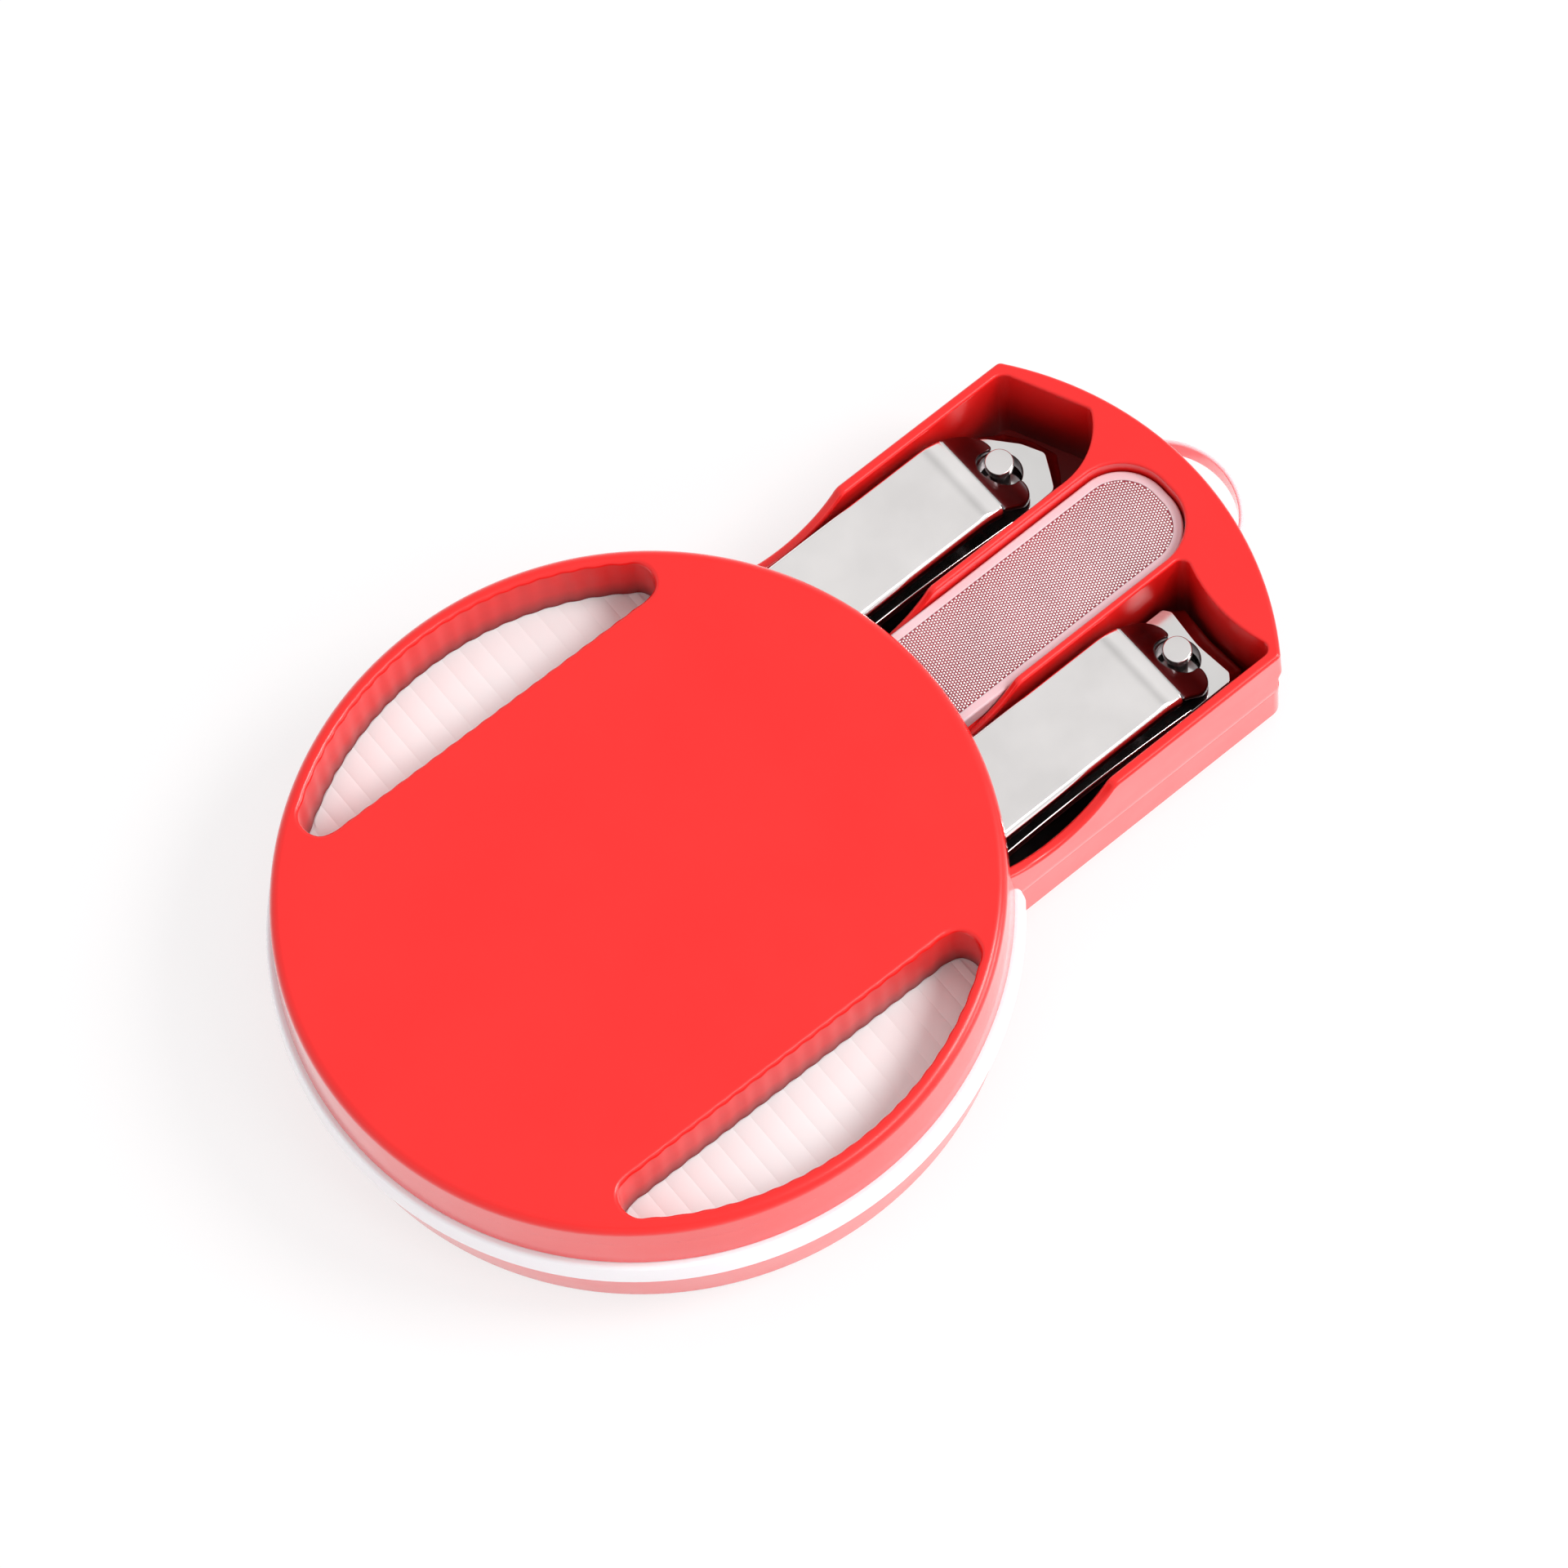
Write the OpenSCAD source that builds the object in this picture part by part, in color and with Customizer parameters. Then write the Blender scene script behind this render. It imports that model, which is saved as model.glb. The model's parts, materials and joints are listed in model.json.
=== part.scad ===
// Manicure set case: a flat round case whose tray slides out to one side.
// The tray holds two nail clippers and a nail file between them.
// Millimetres. The origin is the centre of the base, on the surface it stands on.
// +Z is up and +X is the way the tray slides out.

/* [Case] */
// Diameter of the cover at its top face
case_d = 100; // [90:0.5:115]
// Height of the red base, up to the white band
base_h = 10.7; // [9.6:0.1:12.4]
// Height of the white band
band_h = 4.3; // [3.6:0.1:5]
// Height of the red cover above the band
cover_h = 10; // [9:0.1:12]
// How much wider the cover is at its foot than at its top, on the radius
cover_draft = 0.8; // [0.2:0.1:1.2]
// How much wider the base is at its top than at its foot, on the radius
base_draft = 0.75; // [0.2:0.05:1]
// How far the white band stands proud of the cover's foot
band_proud = 1.4; // [0.6:0.1:2]
// Thickness of the cover's top plate
cover_t = 2.6; // [2.2:0.1:2.8]
// Thickness of the cover's rim at its top
rim_t = 2.1; // [1.8:0.1:2.6]
// Thickness of the base's floor
floor_t = 1.2; // [1:0.1:1.6]
// Thickness of the base's outer wall
base_wall = 2; // [1.4:0.1:2.4]
// Radius of the round along the cover's top edge
edge_r = 1.5; // [0.8:0.1:1.8]
// Gap between the tray and the case, above and below
slide_gap = 0.35; // [0.3:0.05:0.6]
// Gap between the tray and the case, at each side
side_gap = 0.5; // [0.3:0.05:0.8]
// Depth of the ribs under the cover that keep the tray level
guide_drop = 1.6; // [1.2:0.1:1.8]
// Width of those ribs, and of the bar that stops the tray
guide_w = 1.2; // [1:0.1:1.8]
// How far behind the cover's front edge the stop bar lies
stop_back = 7.3; // [6:0.1:12]

/* [Windows] */
// Thickness of the wall between the tray's channel and a window
channel_wall = 2; // [1.6:0.1:2.6]
// Radius of a window's corners
window_corner = 3; // [2.4:0.1:3.6]
// Thickness of the white deck under a window
deck_t = 1.5; // [1.2:0.1:2]
// Distance from one deck rib to the next
rib_pitch = 2.9; // [2.5:0.1:3.6]
// Height of the deck ribs
rib_h = 0.45; // [0.3:0.05:0.7]
// Width of the gap between two deck ribs
rib_gap = 0.35; // [0.2:0.05:0.8]

/* [Tray] */
// How far the tray is pulled out, from closed
tray_open = 48.4; // [40:0.2:56]
// Height of the line where the tray's two shells meet, above the ground
parting_z = 9.2; // [8.4:0.1:10]
// Thickness of the tray's side walls
side_wall = 1.6; // [1.4:0.1:2]
// Thickness of the walls between the file and the clippers
rib_t = 1.15; // [1:0.05:1.6]
// Thickness of the tray's end wall, back wall and top
shell_t = 1.4; // [1.2:0.1:1.6]
// Thickness of the tray's floor
tray_floor_t = 1.5; // [1.2:0.1:1.8]
// Depth of the finger scoop across the tray
scoop_depth = 5.2; // [4.2:0.1:5.8]
// Radius of the finger scoop
scoop_r = 14; // [12:0.5:18]
// Length of the tray's end beyond the left pocket, on the pocket's middle line
left_end = 6.4; // [5.4:0.05:7]
// Length of the tray's end beyond the right pocket, on the pocket's middle line
right_end = 11.5; // [10:0.05:13]
// How far the slanting end of the left pocket leans, in degrees
left_slant = 24.7; // [20:0.1:28]
// Radius of the wide round on the left pocket's inner corner
left_round = 9; // [8:0.1:9.4]
// Radius by which the right pocket's end bows in towards its clipper
right_bow_r = 27; // [22:0.5:40]
// Depth of the finger groove round the tray's end
groove_depth = 0.5; // [0.3:0.05:0.8]

/* [Pull loop] */
// Radius of the pull loop, at the middle of its strap
loop_r = 11.7; // [10.6:0.1:12.2]
// Thickness of the loop's strap
loop_t = 0.6; // [0.5:0.05:1]
// Height of the loop's strap
loop_h = 3.6; // [3:0.1:3.8]
// How far the loop stands out of the tray's end
loop_out = 5.2; // [4.6:0.1:7]

/* [Nail file] */
// Width of the file
file_w = 16.7; // [15:0.1:17.2]
// Length of the tray's end beyond the file
file_end = 4.8; // [4.4:0.1:6]
// Room behind the file
file_back_room = 2.8; // [1:0.1:8]
// Thickness of the file
file_t = 3; // [2.4:0.1:3.6]
// Width of the file's plain rim round the mesh plate
file_rim = 1.4; // [1:0.1:2.2]
// Thickness of the file's mesh plate
mesh_t = 0.3; // [0.2:0.05:0.5]
// How far the file lies below the tray's rim
file_sink = 2.1; // [1.6:0.1:2.4]
// Gap between the file and its pocket, at each side
file_gap = 0.25; // [0.15:0.05:0.5]

/* [Clippers] */
// Gap between a clipper's tail and the back of its pocket
tail_room = 0.4; // [0.3:0.05:1]
// Gap between the right clipper's straight jaw and the end of its pocket
jaw_room = 0.6; // [0.5:0.05:2]
// Room at each side of a clipper that lies in the middle of its pocket
clip_room = 2.125; // [1.6:0.025:3]
// How far the clippers lie to the left in their pockets
clip_shift = 0.75; // [0:0.05:1]
// How much further the left clipper's pointed jaw reaches
point_l = 2.2; // [1.6:0.1:3]
// Width of a clipper's arms
arm_w = 14.4; // [12.6:0.1:16]
// Thickness of a clipper's arms
arm_t = 1.8; // [1.4:0.1:2]
// Height of the arms' arch above the middle of the clipper
arch_h = 5.2; // [4.6:0.1:5.6]
// Height of the arms' flat front above the middle of the clipper
front_h = 3.7; // [3.4:0.1:4]
// Gap between the open jaws
jaw_gap = 1.6; // [1.4:0.1:2.4]
// Gap between the arms at their tails
tail_gap = 0.4; // [0.4:0.05:0.6]
// Length of a lever, from its tail to the front of its nose
lever_l = 50; // [42:0.5:54]
// Width of a lever
lever_w = 14.3; // [12:0.1:16]
// Thickness of a lever's sheet
lever_t = 1; // [0.8:0.1:1.3]
// Height of a lever's side flanges
flange_h = 2.3; // [1.8:0.1:2.8]
// How far a lever's flat top lies below the tray's rim
lever_sink = 1; // [0.6:0.1:2]
// Height of the lobes at a lever's nose
nose_h = 2.6; // [2:0.1:3]
// Length of the lobes at a lever's nose
nose_l = 5; // [4.4:0.1:6]
// Distance from the right jaw's edge back to the pin
pin_back = 6.45; // [6.2:0.05:6.8]
// Diameter of the pin's shaft
pin_d = 2.9; // [2.4:0.1:3.1]
// Diameter of the pin's head
pin_head_d = 4.1; // [3.8:0.1:4.6]
// Diameter of the tail rivet's shaft
rivet_d = 3; // [2.4:0.1:3.6]

/* [Screws] */
// Diameter of the screws' shafts
screw_d = 2.2; // [1.8:0.1:2.4]
// Diameter of the screws' heads
screw_head_d = 4; // [3.4:0.1:4.6]
// Thickness of the case screws' heads
screw_head_h = 1.8; // [1.4:0.1:2]
// How far the case screws' heads are let into the base
screw_sink = 0.7; // [0.4:0.1:1.4]
// How far the case screws bite into the cover
screw_bite = 5; // [3:0.1:6]
// Thickness of the tray screws' heads
tray_screw_head_h = 0.6; // [0.5:0.05:0.8]
// How far the tray screws reach up from the tray's floor
tray_screw_reach = 6.5; // [4:0.1:8]

/* [Hidden] */
$fn = 96;

red = "#d8342f";
white_plastic = "#f4f1f3";
steel = "#c9c4bf";
pink = "#f0b7bb";
past = 1;                    // how far a cut runs past the face it opens
press = 0.02;                // radial gap round a pressed or screwed shaft
seat = 0.2;                  // gap under a piece that rests in the tray
boss_wall = 1.3;             // wall round a screw's hole

// Heights of the case
band_z = base_h;
cover_z = base_h + band_h;
top_z = cover_z + cover_h;
plate_z = top_z - cover_t;   // underside of the cover's plate
guide_z = plate_z - guide_drop;

// Radii of the case
cover_r = case_d / 2;
skirt_r = cover_r + cover_draft;
band_r = skirt_r + band_proud;
base_r = skirt_r + 0.2;
rim_in = cover_r - rim_t;    // inner face of the cover's rim

// Tray, in its own frame: x = 0 lies tray_open in front of the case's centre
tray_z = floor_t + slide_gap;
tray_top = guide_z - slide_gap;
floor_top = tray_z + tray_floor_t;
file_bay = file_w / 2 + file_gap;
pocket_in = file_bay + rib_t;             // inner side of a clipper's pocket
pocket_w = arm_w + 2 * clip_room;
pocket_out = pocket_in + pocket_w;        // its outer side
tray_hw = pocket_out + side_wall;
pocket_y = (pocket_in + pocket_out) / 2;
channel_hw = tray_hw + side_gap;
window_y = channel_hw + channel_wall;
end_r = cover_r + 0.4;                    // the tray's end lines up with the case's side
back_x = slide_gap - sqrt(pow(rim_in, 2) - pow(tray_hw, 2));
pocket_back = back_x + shell_t;
lower_hw = tray_hw - 0.1;
lower_end_r = end_r - 0.2;
groove_r = end_r - groove_depth;
left_reach = end_r - left_end;            // the pockets' ends, on their middle lines
right_reach = end_r - right_end;

// File, in the tray's frame
file_top = tray_top - file_sink;
file_z = file_top - file_t;
file_floor_z = file_z - seat;
file_front = end_r - file_end;
file_back = pocket_back + file_back_room;
file_corner = file_w / 2 - 0.95;

// Clippers: x in the tray's frame, heights from the clipper's middle plane
clip_z = floor_top + seat + arch_h;
tail_x = pocket_back + tail_room;
jaw_x = right_reach - jaw_room;
lever_h = tray_top - lever_sink - clip_z;
pin_x = jaw_x - pin_back;
rivet_x = tail_x + 4;
left_y = pocket_y + clip_shift;
right_y = -pocket_y + clip_shift;
nose_x = pin_x + 1.35;                    // front of a lever's nose
fork_x = pin_x - pin_head_d / 2 - 0.5;    // the back of its fork, behind the pin's head
lever_tail_x = nose_x - lever_l;

// Case screws stand in the solid corners beyond the windows' ends
screw_clear = 0.2;
screw_seat = screw_sink + screw_head_h;
screw_y = window_y + 0.5;
screw_x = sqrt(pow(rim_in - 0.95, 2) - pow(screw_y, 2));
case_screw_places = [for (sx = [-1, 1], sy = [-1, 1]) [sx * screw_x, sy * screw_y]];

// Tray screws stand in a row under the file
tray_screw_places = [for (x = [file_back + 3, (file_back + file_front) / 2, file_front - 5.6]) [x, 0]];

// Ribs under the cover's plate keep the tray level, and a bar meets the tabs on the tray's back
guide_y = tray_hw - 1.4;
guide_x = sqrt(pow(rim_in, 2) - pow(guide_y, 2));
stop_x = guide_x - stop_back;
tab_y = pocket_y + 4;
tab_w = 6;

// ---------- shared shapes ----------

// Extrudes an (x, z) outline along y, w wide
module y_prism(w) rotate([90, 0, 0]) linear_extrude(w, center = true) children();

// Extrudes a (y, z) outline along x
module x_prism(x0, x1) translate([x0, 0, 0]) rotate([90, 0, 90]) linear_extrude(x1 - x0) children();

module at(places, z = 0) for (p = places) translate([p[0], p[1], z]) children();

module box(low, high) translate(low) cube(high - low);

module round_rect(x0, x1, y0, y1, r) {
    translate([x0 + r, y0]) square([x1 - x0 - 2 * r, y1 - y0]);
    translate([x0, y0 + r]) square([x1 - x0, y1 - y0 - 2 * r]);
    for (x = [x0 + r, x1 - r], y = [y0 + r, y1 - r]) translate([x, y]) circle(r);
}

// What a round of radius r takes off the corner at [x, y]; the solid lies to the -x side
module corner_cut(x, y, r, up = 1) translate([x - r, y - up * r]) difference() {
    translate([0, up > 0 ? 0 : -r - past]) square([r + past, r + past]);
    circle(r);
}

// A disc with a sloping side and rounded edges, about z
module disc(r_low, r_high, z0, z1, low_round, high_round) rotate_extrude() difference() {
    polygon([[0, z0], [r_low, z0], [r_high, z1], [0, z1]]);
    if (low_round > 0) corner_cut(r_low, z0, low_round, -1);
    if (high_round > 0) corner_cut(r_high, z1, high_round, 1);
}

module screw(length, head_h) {
    cylinder(d = screw_head_d, h = head_h);
    cylinder(d = screw_d, h = length);
}

// ---------- case ----------

// A window's outline: the segment outside window_y, with round ends, drawn in by inset
module window_outline(side, inset = 0) {
    r = window_corner - inset;
    cy = window_y + window_corner;
    cx = sqrt(pow(rim_in - window_corner, 2) - pow(cy, 2));
    y0 = window_y + inset;
    mirror([0, side > 0 ? 0 : 1]) {
        intersection() {
            circle(rim_in - inset);
            polygon([[-cx, y0], [cx, y0], [cx, cy], 2 * [cx, cy], 2 * [-cx, cy], [-cx, cy]]);
        }
        for (x = [-cx, cx]) translate([x, cy]) circle(r);
    }
}

module top_cover() color(red) difference() {
    disc(skirt_r, cover_r, cover_z, top_z, 0, edge_r);
    // the tray's channel, open to the front
    translate([0, 0, cover_z - past]) linear_extrude(plate_z - cover_z + past) intersection() {
        circle(rim_in);
        square([2 * band_r, 2 * channel_hw], center = true);
    }
    box([0, -channel_hw, cover_z - past], [band_r, channel_hw, guide_z + 0.1]);
    for (side = [-1, 1])
        translate([0, 0, cover_z - past]) linear_extrude(cover_h + 2 * past) window_outline(side);
    at(case_screw_places, cover_z - past)
        cylinder(r = screw_d / 2 + press, h = past + screw_bite + screw_clear);
}

module cover_guides() color(red) {
    for (side = [-1, 1])
        box([-guide_x, side * guide_y - guide_w / 2, guide_z],
            [guide_x, side * guide_y + guide_w / 2, plate_z]);
    box([stop_x, -guide_y, guide_z], [stop_x + guide_w, guide_y, plate_z]);
}

module deck_ribs(side) intersection() {
    translate([0, 0, cover_z - past]) linear_extrude(rib_h + past) window_outline(side, 0.25);
    n = floor(rim_in / rib_pitch);
    for (i = [-n : n])
        box([(i - 0.5) * rib_pitch + rib_gap / 2, -rim_in, cover_z - past / 2],
            [(i + 0.5) * rib_pitch - rib_gap / 2, rim_in, cover_z + rib_h]);
}

// The opening in the band for the tray, which leaves the band's two ends round
module band_opening() {
    r = 0.8;
    cy = channel_hw + r;
    cx = sqrt(pow(band_r - r, 2) - pow(cy, 2));
    translate([0, -channel_hw]) square([2 * band_r, 2 * channel_hw]);
    for (side = [-1, 1]) mirror([0, side > 0 ? 0 : 1]) difference() {
        polygon([[cx, 0], [2 * cx, 0], 2 * [cx, cy], [cx, cy]]);
        translate([cx, cy]) circle(r);
    }
}

module chassis() color(white_plastic) {
    difference() {
        union() {
            // the band, a rounded ring
            difference() {
                disc(band_r, band_r - 0.5, band_z, cover_z, 0.6, 0.6);
                translate([0, 0, band_z - past]) cylinder(r = rim_in - 1, h = band_h + 2 * past);
            }
            // the deck under the windows
            translate([0, 0, cover_z - deck_t]) cylinder(r = rim_in, h = deck_t);
            // the channel's side walls
            for (side = [-1, 1])
                translate([0, 0, band_z]) linear_extrude(band_h) intersection() {
                    circle(rim_in);
                    translate([-rim_in, side > 0 ? channel_hw : -window_y])
                        square([2 * rim_in, channel_wall]);
                }
            at(case_screw_places, band_z) cylinder(d = screw_d + 2 * boss_wall, h = band_h);
        }
        // the channel itself, closed behind by the band
        translate([0, 0, band_z - past]) linear_extrude(band_h + 2 * past) intersection() {
            circle(rim_in);
            square([2 * band_r, 2 * channel_hw], center = true);
        }
        translate([0, 0, band_z - past]) linear_extrude(band_h + 2 * past) band_opening();
        at(case_screw_places, band_z - past)
            cylinder(r = screw_d / 2 + screw_clear, h = band_h + 2 * past);
    }
    for (side = [-1, 1]) deck_ribs(side);
}

module base_shell() color(red) difference() {
    union() {
        difference() {
            disc(base_r - base_draft, base_r, 0, base_h, 0.8, 0);
            translate([0, 0, floor_t]) cylinder(r = base_r - base_wall, h = base_h);
        }
        // guide walls beside the tray
        for (side = [-1, 1])
            linear_extrude(base_h) intersection() {
                circle(base_r - base_wall);
                translate([-base_r, side > 0 ? channel_hw : -window_y])
                    square([2 * base_r, channel_wall]);
            }
        intersection() {
            at(case_screw_places) cylinder(d = screw_head_d + 2 * boss_wall, h = base_h);
            cylinder(r = base_r - base_draft - base_wall / 2, h = base_h);
        }
    }
    box([0, -channel_hw, floor_t], [band_r, channel_hw, base_h + past]);
    translate([0, 0, floor_t]) linear_extrude(base_h) intersection() {
        circle(base_r - base_wall);
        square([2 * band_r, 2 * channel_hw], center = true);
    }
    at(case_screw_places, -past)
        cylinder(d = screw_head_d + 2 * screw_clear, h = screw_seat + past);
    at(case_screw_places) cylinder(r = screw_d / 2 + screw_clear, h = base_h + past);
}

module case_screws() color(steel)
    at(case_screw_places, screw_sink) screw(cover_z + screw_bite - screw_sink, screw_head_h);

// ---------- tray ----------

// The tray's outline, drawn in by inset; r is the radius of its end
module tray_outline(r, hw, inset = 0) intersection() {
    circle(r - inset);
    translate([back_x + inset, -hw + inset]) square([2 * end_r, 2 * (hw - inset)]);
}

pocket_corner = 1.3;
module right_pocket() {
    difference() {
        round_rect(pocket_back, right_reach + pocket_corner, -pocket_out, -pocket_in, pocket_corner);
        translate([right_reach + right_bow_r, -pocket_y]) circle(right_bow_r);
    }
}

// The pocket's end slants, with a wide round on its inner corner
module left_pocket() {
    outer_r = 2;
    n = [cos(left_slant), sin(left_slant)];
    reach = n * [left_reach, pocket_y];
    inner = [left_reach - left_round + 1.15, pocket_in + left_round];
    outer_y = pocket_out - outer_r;
    outer = [(reach - outer_r - n[1] * outer_y) / n[0], outer_y];
    round_rect(pocket_back, inner[0], pocket_in, pocket_out, pocket_corner);
    translate(outer) circle(outer_r);
    intersection() {
        polygon([[0, 0], [reach / n[0], 0], outer + outer_r * n, outer, outer + [0, outer_r],
            [0, pocket_out]]);
        union() {
            translate(inner) circle(left_round);
            translate([0, pocket_in]) square([inner[0], pocket_w]);
            translate([0, inner[1]]) square([end_r, pocket_w]);
        }
    }
}

module file_outline(grow = 0, rim = 0) round_rect(
    file_back - grow + rim, file_front + grow - rim,
    -file_w / 2 - grow + rim, file_w / 2 + grow - rim, file_corner + grow - rim);

// The path of the loop's strap, a ring about loop_x, with a bead at each end
loop_x = end_r + loop_out - loop_r;
bead_x = end_r - 4.1 - loop_x;
bead_y = sqrt(pow(loop_r, 2) - pow(bead_x, 2));
bead_r = 1;
bead_places = [[bead_x, bead_y], [bead_x, -bead_y]];
module loop_ring(t, h) difference() {
    cylinder(r = loop_r + t / 2, h = h);
    translate([0, 0, -past]) cylinder(r = loop_r - t / 2, h = h + 2 * past);
}

module tray_upper() color(red) translate([tray_open, 0, 0]) difference() {
    union() {
        difference() {
            intersection() {
                // the end: a lip above a finger groove
                rotate_extrude() difference() {
                    polygon([[0, parting_z], [groove_r, parting_z], [groove_r, parting_z + 2.6],
                        [end_r + 0.3, parting_z + 5.4], [end_r, tray_top], [0, tray_top]]);
                    corner_cut(end_r, tray_top, 0.8);
                }
                x_prism(back_x, end_r + past)
                    round_rect(-tray_hw, tray_hw, 0, tray_top, 1);
            }
            // hollow underneath, but for the walls round the pockets
            translate([0, 0, parting_z - past]) linear_extrude(tray_top - shell_t - parting_z + past)
                difference() {
                    tray_outline(groove_r, tray_hw, shell_t);
                    translate([back_x, file_bay]) square([left_reach + 1.6 - back_x, tray_hw]);
                    translate([back_x, -file_bay - tray_hw])
                        square([right_reach + 2.6 - back_x, tray_hw]);
                }
        }
        // the file's bay, and the walls beside it down to the floor
        translate([0, 0, file_floor_z - shell_t])
            linear_extrude(tray_top - 0.1 - file_floor_z + shell_t)
            file_outline(file_gap + rib_t);
        for (side = [-1, 1])
            box([back_x + shell_t, side * (file_bay + rib_t / 2) - rib_t / 2, floor_top + seat],
                [file_front - file_corner, side * (file_bay + rib_t / 2) + rib_t / 2, tray_top - 1]);
        at(tray_screw_places, floor_top)
            cylinder(d = screw_d + 2 * boss_wall, h = file_z - 1 - floor_top);
        // tabs that meet the stop bar under the cover
        for (side = [-1, 1])
            box([back_x, side * tab_y - tab_w / 2, tray_top - past],
                [back_x + shell_t, side * tab_y + tab_w / 2, guide_z + guide_drop - slide_gap]);
    }
    linear_extrude(tray_top + past) right_pocket();
    linear_extrude(tray_top + past) left_pocket();
    translate([0, 0, file_floor_z]) linear_extrude(file_t + file_sink + past) file_outline(file_gap);
    translate([0, 0, tray_top - scoop_depth + scoop_r])
        rotate([90, 0, 0]) cylinder(r = scoop_r, h = 2 * tray_hw + 2, center = true);
    // slots for the loop's strap and beads
    translate([loop_x, 0, parting_z - past]) {
        loop_ring(loop_t + 0.6, loop_h + 0.4 + past);
        at(bead_places) cylinder(r = bead_r + 0.2, h = loop_h + 0.4 + past);
    }
    at(tray_screw_places, floor_top - past)
        cylinder(r = screw_d / 2 + press, h = tray_screw_reach + 2 * past);
}

module tray_lower() color(red) translate([tray_open, 0, 0]) difference() {
    intersection() {
        disc(lower_end_r, lower_end_r + 0.3, tray_z, parting_z, 0.8, 0);
        x_prism(back_x, end_r + past) intersection() {
            round_rect(-lower_hw, lower_hw, tray_z, parting_z + 4, 0.6);
            translate([-tray_hw, 0]) square([2 * tray_hw, parting_z]);
        }
    }
    translate([0, 0, floor_top]) linear_extrude(parting_z) tray_outline(lower_end_r, lower_hw, 1.3);
    at(tray_screw_places, tray_z - past)
        cylinder(r = screw_d / 2 + screw_clear, h = tray_floor_t + 2 * past);
    at(tray_screw_places, tray_z - past)
        cylinder(d = screw_head_d + 2 * screw_clear, h = past + tray_screw_head_h + 0.1);
}

module tray_screws() color(steel) translate([tray_open, 0, 0])
    at(tray_screw_places, tray_z + 0.1)
        screw(tray_floor_t + tray_screw_reach, tray_screw_head_h);

module pull_loop() color(pink) translate([tray_open + loop_x, 0, parting_z + 0.2]) {
    intersection() {
        loop_ring(loop_t, loop_h);
        box([bead_x, -2 * loop_r, 0], [2 * loop_r, 2 * loop_r, loop_h]);
    }
    // beads on the strap's ends hold it behind the tray's end wall
    at(bead_places) cylinder(r = bead_r, h = loop_h);
}

// ---------- nail file ----------

module file_body() color(pink) translate([tray_open, 0, 0]) difference() {
    translate([0, 0, file_z]) linear_extrude(file_t) file_outline();
    translate([0, 0, file_top - mesh_t]) linear_extrude(mesh_t + past) file_outline(0, file_rim);
}

module file_plate() color("#a8333a") translate([tray_open, 0, file_top - mesh_t])
    linear_extrude(mesh_t) file_outline(-0.05, file_rim);

// ---------- clippers ----------

module clipper_place(y) translate([tray_open, y, clip_z]) children();

// An arm's underside: flat tail, an arch, then the flat front
arch_x0 = rivet_x + 4;
arch_x1 = pin_x - 3;
front_under = front_h - arm_t;
arch_bow = arch_h - arm_t - (tail_gap / 2 + front_under) / 2;
function arm_under(x) =
    let (u = min(1, max(0, (x - arch_x0) / (arch_x1 - arch_x0))))
    tail_gap / 2 + (front_under - tail_gap / 2) * (1 - cos(180 * u)) / 2 + arch_bow * sin(180 * u);

arm_xs = concat([tail_x], [for (i = [0 : 20]) arch_x0 + (arch_x1 - arch_x0) * i / 20], [pin_x + 2.5]);
arm_side = concat([for (x = arm_xs) [x, arm_under(x)]],
    [for (i = [len(arm_xs) - 1 : -1 : 0]) [arm_xs[i], arm_under(arm_xs[i]) + arm_t]]);

// Outlines of a jaw about the clipper's middle line: its flat top, and its cutting lip
jaw_root = pin_x - 1;
arm_hw = arm_w / 2;
function straight_flat(d = 0) = [[jaw_root, -arm_hw], [jaw_x - 4, -arm_hw], [jaw_x - 2.5, 1.4 - arm_hw],
    [jaw_x - 2.5, arm_hw - 1.4], [jaw_x - 4, arm_hw], [jaw_root, arm_hw]];
function straight_lip(d = 0) = [[jaw_root, -arm_hw + d], [jaw_x - 1.4 - d, -arm_hw + d],
    [jaw_x - d, 1.2 - arm_hw + d], [jaw_x - d, arm_hw - 1.2 - d], [jaw_x - 1.4 - d, arm_hw - d],
    [jaw_root, arm_hw - d]];
function point_flat(d = 0) = [[jaw_root, -arm_hw], [jaw_x - 2.5, -arm_hw + 0.3], [jaw_x - 0.7, -4.2],
    [jaw_x + point_l - 1.9, -2.2], [jaw_x + point_l - 1.7, -1], [jaw_x - 1, 1.4], [jaw_x - 2, 3.4],
    [jaw_x - 4.2, 5.2], [jaw_x - 6, arm_hw - 0.4], [jaw_root, arm_hw]];
function point_lip(d = 0) = [[jaw_root, -arm_hw + d], [jaw_x - 1.3 - d, -arm_hw + d],
    [jaw_x + 0.6 - d, -5 + d / 2], [jaw_x + point_l - 0.2 - d, -2.6], [jaw_x + point_l - d, -1.2],
    [jaw_x + 0.8 - d, 2 - d / 2], [jaw_x - 0.6 - d, 4.4 - d / 2], [jaw_x - 2.8 - d, arm_hw - 1 - d],
    [jaw_x - 4.4 - d, arm_hw - d], [jaw_root, arm_hw - d]];

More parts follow.
